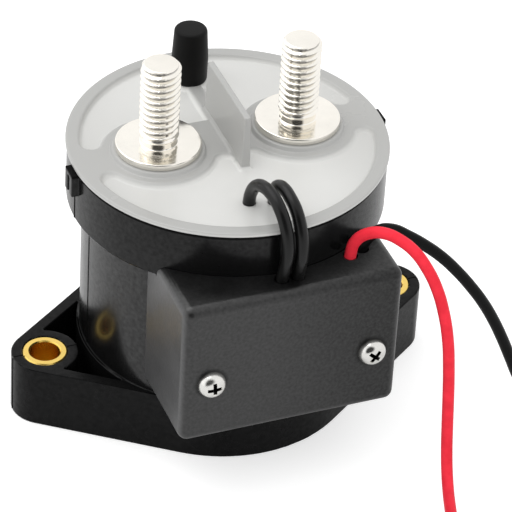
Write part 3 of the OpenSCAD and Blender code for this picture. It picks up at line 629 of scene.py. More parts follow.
def strand_tree(material):
    """Geometry nodes for a bundle of twisted strands along Z, then put in place."""
    tree, source, result = node_group(
        "twisted_strands", "GeometryNodeTree",
        {"Geometry": GEOMETRY, "Length": VALUE, "Bundle Radius": VALUE, "Turns": VALUE, "Place": VECTOR,
         "Turn": VECTOR},
        {"Geometry": GEOMETRY})
    given = source.outputs
    strand = calc(tree, "DIVIDE", given["Bundle Radius"], 3.0)
    lay = calc(tree, "MULTIPLY", strand, 2.0)
    section = add(tree, "GeometryNodeCurvePrimitiveCircle", {"Resolution": 10, "Radius": strand})
    end = add(tree, "ShaderNodeCombineXYZ", {"Z": given["Length"]}).outputs["Vector"]
    core = add(tree, "GeometryNodeCurvePrimitiveLine", {"Start": (0, 0, 0), "End": end})
    spiral = add(tree, "GeometryNodeCurveSpiral",
                 {"Resolution": 24, "Rotations": given["Turns"], "Start Radius": lay, "End Radius": lay,
                  "Height": given["Length"]})
    joined = add(tree, "GeometryNodeJoinGeometry", {"Geometry": core.outputs["Curve"]})
    for k in range(OUTER_STRANDS):
        outer = add(tree, "GeometryNodeTransform", {"Geometry": spiral.outputs["Curve"],
                                                    "Rotation": (0, 0, FULL_TURN * k / OUTER_STRANDS)})
        tree.links.new(outer.outputs["Geometry"], joined.inputs["Geometry"])
    tubes = add(tree, "GeometryNodeCurveToMesh",
                {"Curve": joined.outputs["Geometry"], "Profile Curve": section.outputs["Curve"],
                 "Fill Caps": True})
    placed = add(tree, "GeometryNodeTransform", {"Geometry": tubes.outputs["Mesh"],
                                                 "Translation": given["Place"], "Rotation": given["Turn"]})
    finish_tree(tree, placed.outputs["Geometry"], material, result)
    return tree


def run_tree(piece, tree, **values):
    """Runs a geometry node tree on a piece with named input values and keeps the plain mesh."""
    step = piece.modifiers.new(tree.name, "NODES")
    step.node_group = tree
    for item in tree.interface.items_tree:
        label = item.name.replace(" ", "_").lower()
        if item.in_out == "INPUT" and label in values:
            step[item.identifier] = values[label]
    piece.update_tag()
    settle(piece)


class CONTACTOR_OT_leads(bpy.types.Operator):
    """Red and black lead with their coiled rest, bare ends and bands"""
    bl_idname = "contactor.leads"
    bl_label = "Leads"

    def execute(self, context):
        tinned = metal("tinned_strands", (0.80, 0.79, 0.75), (0.22, 0.34)).material
        band = moulded("nylon_band", (0.80, 0.79, 0.75), fine=900.0, rough=(0.35, 0.5)).material
        looks = {"red": (colours().wire_red, 0.05), "black": (colours().wire_black, 0.1)}
        strands = strand_tree(tinned)
        for name, route in LEAD_ROUTES.items():
            skin = insulation(f"{name}_insulation", *looks[name])
            self.lead(name, route, skin, strands, tinned, band)
        return {"FINISHED"}

    def lead(self, name, route, skin, strands, tinned, band):
        """One lead with its coiled rest, its bare end and its band."""
        middle, entry, way = HANKS[name]
        coil = hank_points(middle, entry, way)
        lead = wire(f"lead_{name}_wire", [*route, *coil], sizes().wire_diameter)
        lead.visible_glossy = lead.visible_diffuse = False  # keeps its colour off the box and the floor
        dress(lead, skin, "base", f"wire_{name}", f"lead_{name}", f"hank_{name}")
        end = new_piece(f"bare_strands_{name}", [(0, 0, 0)], [])
        last = math.radians(entry) + way * FULL_TURN * HANK_TURNS
        heading = last + math.pi - way * math.radians(STRIP_SLANT)
        start = Vector(coil[-1]) * MM
        run_tree(end, strands, length=STRIP_LENGTH * MM, bundle_radius=sizes().strand_diameter / 2,
                 turns=STRAND_TURNS, place=start, turn=(0.0, math.pi / 2, heading))
        smooth(end)
        dress(end, tinned, "base", "strand_tinned", f"bare_end_{name}")
        tie = self.band_loop(name)
        dress(tie, band, "base", "tie_white", f"hank_tie_{name}")

    def band_loop(self, name):
        """Flat band around the turns of a coil, as a rounded loop with thickness."""
        low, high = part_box(f"hank_tie_{name}")
        middle = Vector((*HANKS[name][0], 0)) * MM
        centre = (low + high) / 2
        outward = Vector((centre.x - middle.x, centre.y - middle.y, 0)).normalized()
        across = Vector((-outward.y, outward.x, 0))
        thick, width, round_in, round_out = 0.6 * MM, 2.5 * MM, 0.9 * MM, 1.4 * MM
        inner = (HANK_IN - BAND_ROOM) * MM
        outer = (HANK_IN + HANK_TURNS * HANK_PITCH + BAND_ROOM) * MM
        corners = [(inner, thick), (outer, thick), (outer, high.z - thick), (inner, high.z - thick)]
        inside = self.closed_round(corners, round_in)
        grown = [(inner - thick, 0), (outer + thick, 0), (outer + thick, high.z), (inner - thick, high.z)]
        outside = self.closed_round(grown, round_out)
        verts, faces, count = [], [], len(inside)
        for ring, side in ((inside, -1), (inside, 1), (outside, 1), (outside, -1)):
            verts += [middle + outward * r + Vector((0, 0, z)) + across * side * width / 2 for r, z in ring]
        for ring in range(4):
            after = (ring + 1) % 4
            for k in range(count):
                n = (k + 1) % count
                faces.append((ring * count + k, ring * count + n, after * count + n, after * count + k))
        tie = new_piece(f"band_{name}", verts, faces)
        clean(tie)
        soften(tie, 0.12 * MM)
        smooth(tie)
        return tie

    def closed_round(self, corners, radius):
        """Closed outline with rounded corners."""
        first = (Vector(corners[0]) + Vector(corners[-1])) / 2
        return round_corners([first, *corners, first], radius, steps=5)[:-1]


class CONTACTOR_OT_coil_wires(bpy.types.Operator):
    """Two short black wires from the cover into the box"""
    bl_idname = "contactor.coil_wires"
    bl_label = "Coil wires"

    def execute(self, context):
        material = insulation("coil_wire_insulation", colours().wire_black, 0.3)
        for side, route in COIL_ROUTES.items():
            piece = wire(f"coil_lead_{side}", route, sizes().coil_wire_diameter)
            dress(piece, material, "base", "wire_black", f"coil_wire_{side}")
        return {"FINISHED"}


# Case

# Lines where the halves of the mould met, on the right side in millimetres: start, end and outward
# direction
PARTING_LINES = [
    ((28.75, 0, 13.6), (28.75, 0, 45.9), (1, 0, 0)), ((31.95, 0, 45.95), (31.95, 0, 52.6), (1, 0, 0)),
    ((30.95, 0, 13.75), (33.0, 0, 13.75), (0, 0, 1)), ((42.4, 0, 13.75), (44.3, 0, 13.75), (0, 0, 1)),
    ((44.55, 0, 0.4), (44.55, 0, 13.4), (1, 0, 0)),
]


def case_finish(tone):
    """Satin black moulding with light scuffs, duller on base and collar, and painted shade under the cover
    where its sheen is cut.
    """
    finish = Finish("case_moulding")
    fine, broad, dull, shiny = 1100.0, 70.0, 0.11, 0.47
    grain = finish.grain(fine, broad)
    finish.tint(grain["Mottle"], shade(tone, 0.8), shade(tone, 1.25))
    height = finish.along("Z")
    body = finish.spread(height, EAR_TOP_Z, EAR_TOP_Z + 2 * MM)
    collar = finish.spread(height, COLLAR_Z - 0.2 * MM, COLLAR_Z, 0.0, 0.67)
    level = finish.spread(calc(finish.tree, "SUBTRACT", body, collar), 0.0, 1.0, dull, shiny)
    scuffs = finish.spread(finish.specks(fine), 0.3, 0.7, 0.72, 1.28)
    # painted shade: the sheen is cut in a band just under the cover
    painted_seam_shade = finish.spread(height, CASE_TOP_Z - 0.75 * MM, CASE_TOP_Z - 0.5 * MM, 1.0, 0.1)
    finish.gloss(finish.product(level, scuffs, painted_seam_shade), 0.0, 1.0)
    finish.rough(grain["Mottle"], 0.17, 0.24)
    finish.bump(grain["Height"], 0.12, 0.03)
    return finish.material


class CONTACTOR_OT_case(bpy.types.Operator):
    """Case with ears and collar, its edges rounded"""
    bl_idname = "contactor.case"
    bl_label = "Case"

    def execute(self, context):
        case = solid_copy("housing", "case")
        soften(case, sizes().edge_round)
        for side in (-1, 1):
            for line in PARTING_LINES:
                join(case, self.ridge(*(Vector((side * x, y, z)) for x, y, z in line)))
        even_normals(case)
        dress(case, case_finish(colours().case), "base", "case_black", "housing")
        return {"FINISHED"}

    def ridge(self, start, end, out):
        """Thin ridge along a line in millimetres on a surface, with the surface's outward direction."""
        across = out.cross(end - start).normalized()
        section = [(-0.13, -0.3), (0.13, -0.3), (0.06, 0.13), (-0.06, 0.13)]
        rings = [[(point + across * a + out * o) * MM for a, o in section] for point in (start, end)]
        ridge = wedge("ridge", *rings)
        clean(ridge)
        return ridge


class CONTACTOR_OT_bushes(bpy.types.Operator):
    """Brass bushes of the ears"""
    bl_idname = "contactor.bushes"
    bl_label = "Bushes"

    def execute(self, context):
        outer, bore, edge = (BUSH_HIGH.x - BUSH_LOW.x) / 2, 3.1 * MM, 0.25 * MM
        low, high = BUSH_LOW.z, BUSH_HIGH.z
        for side, sign in (("left", -1), ("right", 1)):
            profile = [
                (bore, low + edge), (bore + edge, low), (outer - edge, low), (outer, low + edge),
                (outer, high - edge), (outer - edge, high), (bore + edge, high), (bore, high - edge),
            ]
            bush = turned(f"bush_{side}", profile, 96, (sign * EAR_X, 0))
            smooth(bush, 25)
            finish = metal(f"turned_brass_{side}", colours().brass, (0.18, 0.28),
                           marks=((sign * EAR_X, 0, 0), 7000.0, 0.25, 0.01))
            from_axis = finish.distance((EAR_X, 0, 0))
            # painted shade: the bore's wall turns a darker, deeper brass, as if lit only by its own
            # reflections
            painted_bore_shade = finish.spread(from_axis, bore + 0.05 * MM, bore + 0.2 * MM, 1.0, 0.0)
            finish.paint_shading(painted_bore_shade, tuple(c ** 1.3 for c in colours().brass))
            dress(bush, finish.material, "base", "bush_brass", f"mounting_bush_{side}")
        return {"FINISHED"}


# Terminal cover

class CoverForm:
    """Heights of the cover's upper side."""

    def __init__(self, size):
        self.size = size
        self.rim_top = POCKET_Z + size.pocket_depth
        self.pocket_r = RIM_R - size.rim_width
        far, near = self.pocket_r - size.pocket_end, size.boss_radius + size.pocket_end
        x = (far * far - near * near + STUD_X * STUD_X) / (2 * STUD_X)
        self.end = Vector((x, math.sqrt(far * far - x * x)))
        self.to_rim = self.end.normalized()
        self.to_boss = (Vector((STUD_X, 0)) - self.end).normalized()
        lap = 0.4 * MM
        pad_x = size.barrier_foot / 2 - lap + size.pad_end
        from_stud = size.boss_radius + size.pad_end
        self.pad = Vector((pad_x, -math.sqrt(from_stud ** 2 - (STUD_X - pad_x) ** 2)))
        self.pad_to_boss = (Vector((STUD_X, 0)) - self.pad).normalized()

    def inside(self, x, y):
        """Distance inside a pocket's outline, below zero on the raised faces."""
        x = abs(x)
        depth = min(self.pocket_r - math.hypot(x, y), math.hypot(x - STUD_X, y) - self.size.boss_radius)
        offset = Vector((x, abs(y))) - self.end
        cross = self.to_rim.cross(self.to_boss)
        if offset.cross(self.to_boss) / cross >= 0 and self.to_rim.cross(offset) / cross >= 0:
            depth = self.size.pocket_end - offset.length
        if x < STUD_X:
            depth = min(depth, self.beside_pad(x, y))
        if 0 < y < CAP_Y:
            depth = min(depth, x - self.size.strip_width / 2)
        return min(depth, math.hypot(x, y - CAP_Y) - self.size.tube_boss)

    def beside_pad(self, x, y):
        """Distance from the raised pad between a boss and the barrier, below zero on the pad."""
        offset = Vector((x, y)) - self.pad
        flare = 0.6
        if offset.y < 0:
            return x - self.size.barrier_foot / 2 - flare * offset.y
        if self.pad_to_boss.cross(offset) >= 0:
            return max(self.size.pad_end - offset.length, y - self.size.pad_rear)
        return self.pocket_r

    def height(self, x, y):
        """Height of the cover over a point."""
        size = self.size
        step = size.pocket_step
        z = self.rim_top - size.pocket_depth * bridge(self.inside(x, y), -0.3 * step, 0.7 * step)
        seat = size.seat_radius - math.hypot(abs(x) - STUD_X, y)
        z += size.seat_height * bridge(seat, -0.6 * size.seat_step, 0.4 * size.seat_step)
        beside = max(0.0, abs(x) - size.barrier_foot / 2)
        beyond = max(0.0, -size.barrier_front - y, y - size.barrier_rear)
        gap = math.hypot(beside, beyond)
        if gap < size.barrier_fillet:
            fillet = size.barrier_fillet
            z += fillet - math.sqrt(fillet * fillet - (fillet - gap) ** 2)
        return z


def cover_body(form):
    """Cover without its barrier: shaped upper side, round rim and plug."""
    size, rings, segments = form.size, 150, 480
    lip = size.rim_round
    plug_r = RIM_R - 3.2 * MM
    verts, faces = [(0.0, 0.0, form.height(0, 0))], []
    turns = [FULL_TURN * k / segments for k in range(segments)]
    directions = [(math.cos(turn), math.sin(turn)) for turn in turns]
    for ring in range(1, rings + 1):
        radius = (RIM_R - lip) * ring / rings
        verts += [(radius * c, radius * s, form.height(radius * c, radius * s)) for c, s in directions]
    quarter = [math.pi / 8 * k for k in range(5)]
    edge = [(RIM_R - lip * (1 - math.sin(a)), form.rim_top - lip * (1 - math.cos(a))) for a in quarter[1:]]
    edge += [(RIM_R - lip * (1 - math.cos(a)), CASE_TOP_Z + lip * (1 - math.sin(a))) for a in quarter]
    edge += [(plug_r, CASE_TOP_Z), (plug_r, PLUG_LOW_Z)]
    for radius, z in edge:
        verts += [(radius * c, radius * s, z) for c, s in directions]
    verts.append((0.0, 0.0, PLUG_LOW_Z))
    total = rings + len(edge)
    for k in range(segments):
        n = (k + 1) % segments
        faces.append((0, 1 + k, 1 + n))
        for ring in range(total - 1):
            near, far = 1 + ring * segments, 1 + (ring + 1) * segments
            faces.append((near + k, far + k, far + n, near + n))
        last = 1 + (total - 1) * segments
        faces.append((last + k, len(verts) - 1, last + n))
    return new_piece("cover", verts, faces)


def barrier_wall(size):
    """Tapered wall with rounded edges that stands in the cover."""
    low, high = POCKET_Z - 0.5 * size.pocket_depth, BARRIER_TOP_Z
    front, rear = -size.barrier_front, size.barrier_rear
    ends = (low, size.barrier_foot / 2), (high, size.barrier_top / 2)
    wall = wedge("barrier", *(rectangle(-half, half, front, rear, z) for z, half in ends))
    soften(wall, 0.32 * MM, segments=3)
    return wall


def cover_finish(tone):
    """Glossy grey moulding with painted shade: a little darker at its sides and on its thick raised faces."""
    finish = Finish("cover_moulding")
    grain = finish.grain(700.0, 45.0)
    finish.tint(grain["Mottle"], shade(tone, 0.97), shade(tone, 1.03))
    from_middle = finish.distance((0.0, 0.0, 0.0), counted=(1.0, 0.0, 0.0))
    # painted shade towards the cover's sides
    finish.paint_shading(finish.spread(from_middle, 5 * MM, 28 * MM), shade(tone, 0.80))
    # painted shade on the raised faces, standing in for the light that shines through the thinner pockets
    raised = finish.spread(finish.along("Z"), POCKET_Z + 0.3 * MM, POCKET_Z + 1.0 * MM, soft=True)
    finish.paint_shading(raised, shade(tone, 0.595))
    finish.rough(grain["Mottle"], 0.20, 0.28)
    finish.bump(grain["Height"], 0.10, 0.02)
    return finish.material


class CONTACTOR_OT_cover(bpy.types.Operator):
    """Terminal cover with soft pockets, seats and the barrier"""
    bl_idname = "contactor.cover"
    bl_label = "Terminal cover"

    def execute(self, context):
        size = sizes()
        cover = cover_body(CoverForm(size))
        wire_r = size.coil_wire_diameter / 2 + 0.03 * MM
        below = PLUG_LOW_Z - MM
        bores = [(STUD_X, 0, SHANK_R + FIT, below), (-STUD_X, 0, SHANK_R + FIT, below),
                 (0, CAP_Y, TUBE_R + FIT, below)]
        for route in COIL_ROUTES.values():
            x, y, z = Vector(route[0]) * MM
            bores.append((x, y, wire_r, z))
        for x, y, radius, low in bores:
            profile = [(0, low), (radius, low), (radius, BARRIER_TOP_Z), (0, BARRIER_TOP_Z)]
            carve(cover, turned("bore", profile, 48, (x, y)), "DIFFERENCE")
        join(cover, barrier_wall(size))
        even_normals(cover, 40)
        dress(cover, cover_finish(colours().cover), "base", "cover_grey", "terminal_cover")
        return {"FINISHED"}


# Terminals

def thread_tree(material):
    """Geometry nodes that cut a helical thread into a turned rod."""
    tree, source, result = node_group(
        "helical_thread", "GeometryNodeTree",
        {"Geometry": GEOMETRY, "Axis X": VALUE, "Radius": VALUE, "Pitch": VALUE, "Depth": VALUE,
         "Start": VALUE, "End": VALUE},
        {"Geometry": GEOMETRY})
    given = source.outputs
    position = add(tree, "GeometryNodeInputPosition").outputs["Position"]
    place = add(tree, "ShaderNodeSeparateXYZ", {"Vector": position}).outputs
    x, y, z = calc(tree, "SUBTRACT", place["X"], given["Axis X"]), place["Y"], place["Z"]
    radius = axis_distance(tree, x, y)
    around = calc(tree, "DIVIDE", calc(tree, "ARCTAN2", y, x), FULL_TURN)
    phase = calc(tree, "FRACT", calc(tree, "SUBTRACT", calc(tree, "DIVIDE", z, given["Pitch"]), around))
    flank = calc(tree, "ABSOLUTE", calc(tree, "SUBTRACT", calc(tree, "MULTIPLY", phase, 2.0), 1.0))
    crest, root = 0.12, 0.86
    groove = spread(tree, flank, crest, root)
    run_in = spread(tree, z, given["Start"], calc(tree, "ADD", given["Start"], given["Pitch"]))
    cut = calc(tree, "MULTIPLY", calc(tree, "MULTIPLY", groove, given["Depth"]), run_in)
    limit = calc(tree, "SUBTRACT", given["Radius"], cut)
    change = calc(tree, "MINIMUM", calc(tree, "SUBTRACT", limit, radius), 0.0)
    scale = calc(tree, "DIVIDE", change, radius)
    offset = add(tree, "ShaderNodeCombineXYZ", {"X": calc(tree, "MULTIPLY", x, scale),
                                                "Y": calc(tree, "MULTIPLY", y, scale)}).outputs["Vector"]
    above = add(tree, "FunctionNodeCompare", {"A": z, "B": given["Start"]}, operation="GREATER_THAN")
    below = add(tree, "FunctionNodeCompare", {"A": z, "B": given["End"]}, operation="LESS_THAN")
    on_thread = add(tree, "FunctionNodeBooleanMath", {0: above.outputs[0], 1: below.outputs[0]})
    moved = add(tree, "GeometryNodeSetPosition",
                {"Geometry": given["Geometry"], "Selection": on_thread.outputs[0], "Offset": offset})
    finish_tree(tree, moved.outputs["Geometry"], material, result)
    return tree


def stud_profile(size):
    """Profile of a terminal from the end of its shank to its top, with many rows along the thread;
    returns it with the height where the thread starts and the rod's radius."""
    seat_z = POCKET_Z + size.pocket_depth + size.seat_height
    flange_z, top = seat_z + 1.45 * MM, STUD_HIGH.z
    neck_r, neck_top, rod_r, bevel = 3.6 * MM, flange_z + 1.4 * MM, 4.0 * MM, 0.7 * MM
    rod_low = neck_top + 0.4 * MM
    foot = round_corners([
        (SHANK_R, STUD_LOW.z), (SHANK_R, seat_z), (FLANGE_R, seat_z), (FLANGE_R, flange_z),
        (neck_r, flange_z), (neck_r, neck_top), (rod_r, rod_low),
    ], 0.3 * MM)
    rows, end_rows = 190, 8
    rod = [(rod_r, rod_low + (top - bevel - rod_low) * k / rows) for k in range(1, rows + 1)]
    end = [(rod_r - bevel * k / end_rows, top - bevel + bevel * k / end_rows) for k in range(1, end_rows + 1)]
    crown = [(rod_r - bevel - 0.15 * MM, top), (2.2 * MM, top), (0.0, top)]
    return [(0.0, STUD_LOW.z), *foot, *rod, *end, *crown], neck_top, rod_r


class CONTACTOR_OT_terminals(bpy.types.Operator):
    """Plated terminals with flange and rolled thread"""
    bl_idname = "contactor.terminals"
    bl_label = "Terminals"

    def execute(self, context):
        size = sizes()
        profile, thread_low, rod_r = stud_profile(size)
        root, top = rod_r - size.thread_depth, STUD_HIGH.z
        for side, sign in (("left", -1), ("right", 1)):
            axis = sign * STUD_X
            stud = turned(f"terminal_{side}", profile, 112, (axis, 0))
            finish = metal(f"bright_plating_{side}", colours().plating, (0.10, 0.17),
                           marks=((axis, 0, 0), 5000.0, 0.05, 0.004))
            from_axis = finish.distance((axis, 0, 0))
            # painted shade in the thread roots, below the top
            painted_root_shade = finish.spread(from_axis, root, root + 0.3 * MM, 1.0, 0.0)
            below_top = finish.spread(finish.along("Z"), top - 0.3 * MM, top - 0.2 * MM, 1.0, 0.0)
            finish.paint_shading(finish.product(painted_root_shade, below_top), shade(colours().plating, 0.35))
            run_tree(stud, thread_tree(finish.material), axis_x=axis, radius=rod_r, pitch=size.thread_pitch,
                     depth=size.thread_depth, start=thread_low, end=top - 0.02 * MM)
            smooth(stud, 50)
            dress(stud, finish.material, "base", "stud_plated", f"stud_{side}")
        return {"FINISHED"}


# Sealing tube cap

class CONTACTOR_OT_cap(bpy.types.Operator):
    """Rubber cap on the sealing tube"""
    bl_idname = "contactor.cap"
    bl_label = "Tube cap"

    def execute(self, context):
        belly_r, tall = (CAP_HIGH.x - CAP_LOW.x) / 2, CAP_HIGH.z - CAP_LOW.z
        foot_r, top_r = belly_r - 0.1 * MM, belly_r - 0.4 * MM
        low, high = CAP_LOW.z, CAP_HIGH.z
        bore_r, bore_top = TUBE_R + FIT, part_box("seal_tube")[1].z + 0.15 * MM
        outline = round_corners([
            (foot_r - 0.1 * MM, low), (foot_r, low + 0.3 * MM), (belly_r, low + 0.4 * tall), (top_r, high),
            (0.0, high),
        ], 0.8 * MM, steps=6)
        profile = [(0.0, bore_top), (bore_r, bore_top), (bore_r, low), *outline]
        cap = turned("cap", profile, 72, (0, CAP_Y))
        clean(cap)
        smooth(cap, 40)
        finish = moulded("cap_rubber", colours().rubber, fine=1300.0, broad=120.0, rough=(0.40, 0.52),
                         specular=0.12)
        dress(cap, finish.material, "base", "cap_rubber", "tube_cap")
        return {"FINISHED"}


# Economizer box

def box_finish(tone):
    """Spark eroded black, with painted light on the box's sides and painted shade in its sheen to the right
    and beside the screw heads.
    """
    finish = Finish("box_moulding")
    fine, broad = 1500.0, 130.0
    grain = finish.grain(fine, broad)
    finish.tint(grain["Mottle"], shade(tone, 0.75), shade(tone, 1.3))
    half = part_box("economizer_box")[1].x
    from_middle = finish.distance((0.0, 0.0, 0.0), counted=(1.0, 0.0, 0.0))
    # painted light: the box's side faces made far lighter
    finish.paint_shading(finish.spread(from_middle, half - 0.8 * MM, half, soft=True), shade(tone, 9.0))
    finish.rough(grain["Mottle"], 0.30, 0.40)
    # painted shade: the sheen falls off towards the right
    painted_right_shade = finish.spread(finish.along("X"), -5 * MM, half, 0.80, 0.42)
    pattern = finish.spread(finish.specks(fine), 0.3, 0.7, -0.16, 0.16)
    # painted shadow: the sheen drops beside the screw heads
    from_screw = finish.distance((SCREW_X, 0.0, SCREW_Z), counted=(1.0, 0.0, 1.0))
    painted_head_shadow = finish.spread(from_screw, SCREW_HEAD_R, SCREW_HEAD_R + 0.9 * MM, 0.2, 1.0)
    finish.gloss(finish.product(calc(finish.tree, "ADD", painted_right_shade, pattern), painted_head_shadow), 0.1, 0.85)
    finish.bump(grain["Height"], 0.7, 0.05)
    return finish.material


class CONTACTOR_OT_box(bpy.types.Operator):
    """Economizer box with rounded edges and a fine grain"""
    bl_idname = "contactor.box"
    bl_label = "Economizer box"

    def execute(self, context):
        box = solid_copy("economizer_box", "box")
        carve(box, self.round_block(), "INTERSECT")
        even_normals(box)
        dress(box, box_finish(colours().box), "base", "box_black", "economizer_box")
        return {"FINISHED"}

    def round_block(self):
        """Block with ball corners that trims the box's edges and just clears its flat faces."""
        low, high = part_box("economizer_box")
        clear, rear = 0.01 * MM, -10 * MM
        sides = low.x - clear, high.x + clear, low.y - clear, rear
        block = wedge("block", *(rectangle(*sides, z) for z in (low.z - clear, high.z + clear)))
        soften(block, sizes().box_round, segments=7)
        return block


SCREW_TURNS = (3.0, 51.0)  # recess of the left and of the right screw, in degrees


def pan_screw(head_r, tall):
    """Pan head screw along Z with its head's seat at the origin: domed head, cross recess and shank."""
    shank_r, shank_l, steps = 1.5 * MM, 9.0 * MM, 16
    slopes = [math.pi / 2 * k / steps for k in range(steps, -1, -1)]
    dome = [(head_r * math.sin(slope) ** (2 / 3), tall * math.cos(slope)) for slope in slopes]
    profile = [(0.0, -shank_l), (shank_r, -shank_l), (shank_r, 0.0), *dome]
    screw = turned("screw", profile, 64)
    for quarter in range(2):
        carve(screw, recess_bar(quarter * math.pi / 2, tall), "DIFFERENCE")
    return screw


def recess_bar(turn, tall):
    """Cutter for one bar of a cross recess: wide and long at the head's top, narrow and short below."""
    ends = (tall - 1.3 * MM, 0.7 * MM, 0.25 * MM), (tall + 0.2 * MM, 1.75 * MM, 0.42 * MM)
    bar = wedge("recess", *(rectangle(-long, long, -wide, wide, z) for z, long, wide in ends))
    bar.data.transform(Matrix.Rotation(turn, 4, "Z"))
    return bar


def screw_tree(screw, material):
    """Geometry nodes that put a screw on each point, facing the front, turned by the point's own angle."""
    tree, source, result = node_group(
        "screws_on_points", "GeometryNodeTree", {"Geometry": GEOMETRY}, {"Geometry": GEOMETRY})
    kept = add(tree, "GeometryNodeObjectInfo", {"Object": screw})
    screws = add(tree, "GeometryNodeInstanceOnPoints",
                 {"Points": source.outputs["Geometry"], "Instance": kept.outputs["Geometry"]})
    own_turn = add(tree, "GeometryNodeInputNamedAttribute", {"Name": "turn"}, data_type="FLOAT").outputs[0]
    about_axis = add(tree, "ShaderNodeCombineXYZ", {"Z": own_turn}).outputs["Vector"]
    for angles in ((math.pi / 2, 0, 0), about_axis):
        rotation = add(tree, "FunctionNodeEulerToRotation", {0: angles}).outputs[0]
        screws = add(tree, "GeometryNodeRotateInstances",
                     {"Instances": screws.outputs["Instances"], "Local Space": True, "Rotation": rotation})
    finish_tree(tree, screws.outputs["Instances"], material, result)
    return tree


def screw_finish(tall):
    """Nickel plating, with painted shade inside the recess."""
    finish = metal("nickel_plating", colours().nickel, (0.16, 0.26))
    recess_r, recess_y = 1.62 * MM, BOX_FACE_Y - 0.86 * tall
    from_axis = finish.distance((SCREW_X, 0.0, SCREW_Z), counted=(1.0, 0.0, 1.0))
    recess_shade_area = calc(finish.tree, "LESS_THAN", from_axis, recess_r)
    deep = finish.spread(finish.along("Y"), recess_y, recess_y + 0.1 * MM)
    # painted shade: the recess's floor turned nearly black
    finish.paint_shading(finish.product(deep, recess_shade_area), (0.015, 0.015, 0.015))
    return finish.material


class CONTACTOR_OT_screws(bpy.types.Operator):
    """Two pan head screws with a cross recess"""
    bl_idname = "contactor.screws"
    bl_label = "Box screws"

    def execute(self, context):
        points = new_piece("screws", [(-SCREW_X, BOX_FACE_Y, SCREW_Z), (SCREW_X, BOX_FACE_Y, SCREW_Z)], [])
        turns = points.data.attributes.new("turn", "FLOAT", "POINT")
        turns.data.foreach_set("value", [math.radians(turn) for turn in SCREW_TURNS])
        tall = 2.3 * MM
        material = screw_finish(tall)
        template = pan_screw(SCREW_HEAD_R + 0.1 * MM, tall)
        run_tree(points, screw_tree(template, material))
        discard(template)
        smooth(points, 30)
        dress(points, material, "base", "screw_nickel", "box_screws")
        return {"FINISHED"}


# Inner pieces

class CONTACTOR_OT_inside(bpy.types.Operator):
    """Finishes of the pieces inside the case and the box"""
    bl_idname = "contactor.inside"
    bl_label = "Inner pieces"

    def execute(self, context):
        finishes = {
            "soft_iron": metal("zinc_plated_iron", (0.55, 0.55, 0.57), (0.28, 0.42)),
            "spring_steel": metal("drawn_spring_steel", (0.55, 0.55, 0.56), (0.20, 0.32)),
            "copper_bare": metal("bare_copper", (0.80, 0.42, 0.27), (0.24, 0.38)),
            "tip_silver": metal("silver_alloy", (0.86, 0.86, 0.84), (0.26, 0.38)),
            "magnet_dark": moulded("sintered_magnet", (0.10, 0.10, 0.11), fine=2200.0, rough=(0.4, 0.55)),
            "chamber_ceramic": moulded("white_ceramic", (0.80, 0.78, 0.73), fine=1600.0, rough=(0.5, 0.65)),
            "bobbin_black": moulded("bobbin_nylon", (0.025, 0.025, 0.025)),
            "board_green": moulded("board_mask", (0.02, 0.16, 0.06), fine=2400.0, rough=(0.25, 0.35)),
            "component_black": moulded("component_epoxy", (0.02, 0.02, 0.022), fine=2600.0,
                                       rough=(0.5, 0.6)),
        }
        slots = {row["node"]: row["material_slot"] for row in frame["record"]["subparts"]}
        for name, node in frame["nodes"].items():
            if slots[name] in finishes and not node.hide_render:
                node.data.materials.clear()
                node.data.materials.append(finishes[slots[name]].material)
        return {"FINISHED"}


# Studio

